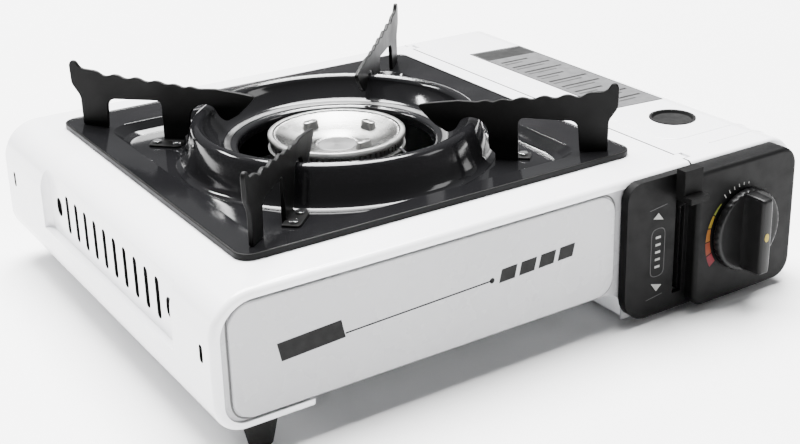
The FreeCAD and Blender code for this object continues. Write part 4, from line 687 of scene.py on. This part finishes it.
def panel_print():
    """The marks beside the lever's slot: two arrows, two fine lines and a capsule with five bars."""
    front_print("arrow_up", [(65.2, 56.6), (71.8, 55.0), (68.4, 59.2)], PANEL_FACE, PALE_INK)
    front_print("arrow_down", [(65.2, 21.2), (72.2, 19.3), (68.8, 16.4)], PANEL_FACE, PALE_INK)
    front_print("panel_line_top", stroke(62.6, 61.4, 74.0, 62.8, 0.4), PANEL_FACE, GREY_INK)
    front_print("panel_line_low", stroke(62.2, 12.8, 73.0, 14.2, 0.4), PANEL_FACE, GREY_INK)
    outer = rounded(oblong(64.2, 24.5, 73.5, 51.0), 4.0, 6)
    inner = rounded(oblong(64.6, 24.9, 73.1, 50.6), 3.7, 6)
    hoop("panel_capsule", outer, inner, lambda u, v: (u, PANEL_FACE - PROUD, v), (0, INK_DEEP, 0),
         GREY_INK, "casing")
    bar_left, bar_right, bar_low, bar_pitch, bar_wide = 67.2, 70.5, 30.0, 4.0, 1.2
    for number in range(5):
        z = bar_low + bar_pitch * number
        front_print("panel_bar_%d" % number, stroke(bar_left, z, bar_right, z, bar_wide), PANEL_FACE,
                    PALE_INK)


def front_graphic():
    """A plain graphic on the front: a slanted bar, a thin line, a dot and four slanted blocks."""
    front_print("stripe_bar_left", [(-139.0, 42.4), (-108.0, 44.2), (-109.8, 53.0), (-140.8, 51.2)],
                FIELD_FACE, BLACK_INK)
    dot = (-30.0, 48.6)
    front_print("stripe_left", stroke(-108.0, 46.0, *dot, 0.7), FIELD_FACE, BLACK_INK)
    front_print("stripe_dot", ring_points(dot, 1.4, 0, 345, 23), FIELD_FACE, BLACK_INK)
    block_left, block_low, pitch, rise = -26.0, 46.2, 11.5, 0.55
    for number in range(4):
        x = block_left + pitch * number
        z = block_low + rise * number
        front_print("stripe_block_%d" % number,
                    [(x, z), (x + 9.0, z + 0.4), (x + 10.6, z + 7.0), (x + 1.6, z + 6.6)], FIELD_FACE,
                    BLACK_INK)


def lid_plate(name, outline, high, material):
    """Ink on the flat of the lid; high is how far its top stands above the deck."""
    slab(name, outline, lambda u, v: (u, v, DECK + high), (0, 0, -INK_DEEP), material, "lid")


def lid_row(name, end, top, tall, material):
    """One slightly slanted bar on the lid's plate."""
    start, slant = 120.0, 0.4
    lid_plate(name, [(start, top), (end, top - slant), (end, top - slant - tall), (start, top - tall)],
              0.12, material)


def lid_print():
    """The grey plate on the lid: a dark edge, a dark band at the back and nine pairs of plain bars."""
    plate = ((116.0, 103.0), (153.0, 100.0), (151.5, -36.7), (116.6, -33.3))
    lid_plate("label_plate", rounded(plate, 2.0), 0.08, LABEL_GREY)
    for number, (one, two) in enumerate(zip(plate, plate[1:] + plate[:1])):
        lid_plate("label_edge_%d" % number, stroke(*one, *two, 0.7), 0.13, LABEL_DARK)
    lid_plate("label_band", [(117.0, 101.5), (152.0, 98.6), (151.8, 82.0), (117.2, 84.0)], 0.12,
              LABEL_DARK)
    first_row, pitch = 76.0, 12.0
    for number in range(9):
        top = first_row - pitch * number
        end = 148.0 if number % 3 else 140.0
        lid_row("label_row_%d" % number, end, top, 2.0, LABEL_DARK)
        lid_row("label_row_low_%d" % number, end - 7.0, top - 4.4, 1.6, LABEL_MID)


# Painted shade in the front crease, the openings and the lid's gap, and the lid's trim

def vent_shade_linings():
    """Dark linings on the cut edges of the vents in the left end: painted shade for the shadowed slots.

    A slot is its middle in y and z, half its height, half its width and its near and far face.
    """
    recess = (RECESS_FACE - 0.04, RECESS_FACE + SHADE_LINER_DEEP)
    end_face = (LEFT, LEFT + SHADE_LINER_DEEP)
    back_vent, pitch = 58.1, 12.7
    slots = [(back_vent - pitch * number, 54.25, 10.25, 2.2, recess) for number in range(10)]
    slots += [(y, 54.5, 5.0, 3.6, recess) for y in (70.8, -68.9)]
    slots += [(y, 51.25, 4.25, 1.7, end_face) for name, y in TAB_SLOTS]
    near_wall, far_wall, count = 0.02, 0.22, 24
    verts, faces = [], []
    for y, z, tall, half, (near, far) in slots:
        base = len(verts)
        for x, shrink in ((near, near_wall), (near, far_wall), (far, far_wall), (far, near_wall)):
            for k in range(count):
                a = 2 * math.pi * (k + 0.5) / count
                verts.append((x, y + (half - shrink) * math.cos(a),
                              z + math.copysign(tall - half, math.sin(a)) + (half - shrink) * math.sin(a)))
        for row in range(4):
            for k in range(count):
                one, two = base + row * count, base + (row + 1) % 4 * count
                faces.append((one + k, one + (k + 1) % count, two + (k + 1) % count, two + k))
    mesh_piece("vent_shade_linings", verts, faces, MATT_BLACK_AND_SHADE, "casing", angle=50)


def floor_vent_shade_strips():
    """Dark strips over the vents in the floor: painted shade for the dark underside seen through them."""
    first_left, pitch, wide, low, high = -97.0, 22.0, 7, 22.02, 22.3
    sides = ((0, 1, 2, 3), (4, 5, 6, 7), (0, 1, 5, 4), (1, 2, 6, 5), (2, 3, 7, 6), (3, 0, 4, 7))
    verts, faces = [], []
    for number in (0, 1, 4, 5):
        x = first_left + pitch * number
        base = len(verts)
        verts += [(x + u, v, w) for w in (low, high) for u, v in oblong(0, -79.0, wide, 75.0)]
        faces += [tuple(base + k for k in side) for side in sides]
    mesh_piece("floor_vent_shade_strips", verts, faces, MATT_BLACK_AND_SHADE, "casing")


def painted_shade_lines():
    """Painted shade: a dark line in the crease round the raised field of the front plate, and dark liners
    that stand for the shade inside the openings.
    """
    inner, outer = [rounded(oblong(-162.0 - grow, 20.5 - grow, 44.5 + grow, 73.8 + grow), 10.0 + grow, 8)
                    for grow in (0.1, 0.85)]
    # Painted shade in the crease round the raised field.
    hoop("front_joint_shade", outer, inner, lambda u, v: (u, -118.45, v), (0, 0.2, 0), JOINT_SHADE, "casing")
    # A dark plate behind the left end's vents: painted shade for the inside.
    slab("vent_shade_plate", rounded(oblong(-78.0, 40.0, 86.0, 68.0), 3.0),
         lambda u, v: (RECESS_FACE + SHADE_LINER_DEEP, u, v), (0.5, 0, 0), MATT_BLACK_AND_SHADE, "casing")
    vent_shade_linings()
    # Dark plates behind the tab slots: painted shade.
    for name, y in TAB_SLOTS:
        slab("tab_slot_shade_strip_" + name, oblong(y - 3, 45.5, y + 3, 57.0),
             lambda u, v: (LEFT + 1.22, u, v), (0.4, 0, 0), MATT_BLACK_AND_SHADE, "casing")
    # A dark plate behind the rear vents: painted shade.
    slab("rear_vent_shade_plate", oblong(-140.0, 26.0, 70.0, 72.0), lambda u, v: (u, 145.2, v), (0, -0.4, 0),
         MATT_BLACK_AND_SHADE, "casing")
    floor_vent_shade_strips()
    # Dark strips on the sides of the lever's slot: painted shade over the white cut edges.
    for name, x in (("left", 80.02), ("right", 85.48)):
        slab("slot_shade_strip_" + name, oblong(x, 12.1, x + 0.5, 71.4), lambda u, v: (u, -121.9, v),
             (0, 5.2, 0), MATT_BLACK_AND_SHADE, "casing")


def lid_height(x):
    """The lid's outer surface, flat and then bent down on the right."""
    over = x - (RIGHT - LID_BEND)
    if over <= 0:
        return DECK
    return DECK - LID_BEND + math.sqrt(max(LID_BEND ** 2 - over * over, 0.0))


def lid_beads():
    """The two raised lines on the lid: a long one with a round corner and a short one in front of it."""
    radius, sunk, turn = 0.85, 0.42, 10.0
    left, back, corner, front = 104.5, 144.0, -81.5, -105.0
    over_bend = (138.0, 150.0, 154.0, 158.0, 161.0, 164.0)
    long_path = [(left, back), (left, corner)]
    long_path += [(left + turn - turn * math.cos(math.radians(a)),
                   corner - turn * math.sin(math.radians(a))) for a in range(10, 91, 10)]
    long_path += [(x, corner - turn) for x in (124.0, *over_bend)]
    front_path = [(x, front) for x in (121.0, *over_bend)]
    for name, path in (("lid_bead_long", long_path), ("lid_bead_front", front_path)):
        tube(name, [(x, y, lid_height(x) - sunk) for x, y in path], radius, WHITE, "lid", angle=60)


def lid_gap_shade():
    """A dark strip where the lid meets the deck: painted shade for the gap, which shows as a fine line."""
    left, wide = 94.12, 0.36
    slab("lid_gap_shade_long", oblong(left, -106.7, left + wide, 135.7), lambda u, v: (u, v, DECK - 0.02),
         (0, 0, -0.75), MATT_BLACK_AND_SHADE, "lid")
    outer = [(-113.9, 78.95), (-117.0, 78.95), (-118.6, 78.2), (-119.3, 76.6), (-119.3, 74.9)]
    inner = [(-118.5, 74.9), (-118.5, 76.6), (-118.0, 77.6), (-117.0, 78.1), (-113.9, 78.2)]
    slab("lid_gap_shade_front", outer + inner, lambda u, v: (left, u, v), (wide, 0, 0), MATT_BLACK_AND_SHADE, "lid")


burner_crown()
burner_bowl()
burner_plug()
burner_bosses()
boss_dimples()
pan_collar()
pan_edge()
shelf_ring()
pan_supports()
knob_dish()
knob_grip()
knob_mark()
lid_gap_shade()
painted_shade_lines()
lid_beads()
knob_scale()
panel_print()
front_graphic()
lid_print()


# The room: a pale floor, soft lights and the camera of the photo

def area_light(name, place, target, size, power):
    """A soft rectangular light at a place in metres, turned to its target."""
    lamp = bpy.data.lights.new(name, "AREA")
    lamp.shape = "RECTANGLE"
    lamp.size, lamp.size_y = size
    lamp.energy = power
    item = bpy.data.objects.new(name, lamp)
    bpy.context.scene.collection.objects.link(item)
    item.location = place
    item.rotation_euler = (Vector(target) - Vector(place)).to_track_quat("-Z", "Y").to_euler()


def studio():
    """A wide pale floor, an even sky, a broad sun and three soft lights."""
    floor_mesh = bpy.data.meshes.new("floor")
    far = 6.0
    floor_mesh.from_pydata([(u, v, 0) for u, v in oblong(-far, -far, far, far)], [], [(0, 1, 2, 3)])
    floor = bpy.data.objects.new("floor", floor_mesh)
    bpy.context.scene.collection.objects.link(floor)
    floor.location.z = -0.0002
    paper = Shader("floor_paper")
    paper.join(paper.tint(paper.noise(paper.coords, 2.0, 3), (0.80, 0.80, 0.80), (0.84, 0.84, 0.84)),
               paper.bsdf.inputs["Base Color"])
    paper.put(Roughness=0.7)
    floor_mesh.materials.append(paper.mat)
    world = bpy.data.worlds.new("studio")
    bpy.context.scene.world = world
    world.use_nodes = True
    back = world.node_tree.nodes["Background"]
    back.inputs["Color"].default_value = (0.97, 0.98, 1.0, 1)
    back.inputs["Strength"].default_value = 0.22
    lamp = bpy.data.lights.new("skylight", "SUN")
    lamp.energy = 24.0
    lamp.angle = math.radians(46)
    sky = bpy.data.objects.new("skylight", lamp)
    bpy.context.scene.collection.objects.link(sky)
    sky.rotation_euler = Vector((-0.16, -0.34, -1.25)).to_track_quat("-Z", "Y").to_euler()
    burner = (-0.03, 0.01, 0.08)
    area_light("key", (-0.7, 0.9, 1.0), burner, (0.5, 0.10), 14)
    area_light("glint", (0.45, 0.9, 0.9), burner, (0.12, 0.12), 8)
    area_light("side", (1.3, -1.1, 0.8), (0.1, 0, 0.05), (0.5, 0.7), 5)


def photo_camera():
    """The camera of the photo: its angles in radians, its place in metres and its shifted lens."""
    yaw, pitch, roll = 0.5983, 0.3550, -0.0133
    place = Vector((-0.3584, -0.5687, 0.3190))
    forward = Vector((math.sin(yaw) * math.cos(pitch), math.cos(yaw) * math.cos(pitch), -math.sin(pitch)))
    right = Vector((math.cos(yaw), -math.sin(yaw), 0))
    up = right.cross(forward)
    right, up = (math.cos(roll) * right + math.sin(roll) * up,
                 -math.sin(roll) * right + math.cos(roll) * up)
    lens = bpy.data.cameras.new("photo_camera")
    lens.lens = 60.23
    lens.sensor_width = 36.0
    lens.shift_x = -0.0625
    lens.shift_y = -0.09
    lens.clip_start = 0.02
    item = bpy.data.objects.new("photo_camera", lens)
    bpy.context.scene.collection.objects.link(item)
    turn = Matrix((right, up, -forward)).transposed().to_4x4()
    item.matrix_world = Matrix.Translation(place) @ turn
    bpy.context.scene.camera = item


studio()
photo_camera()
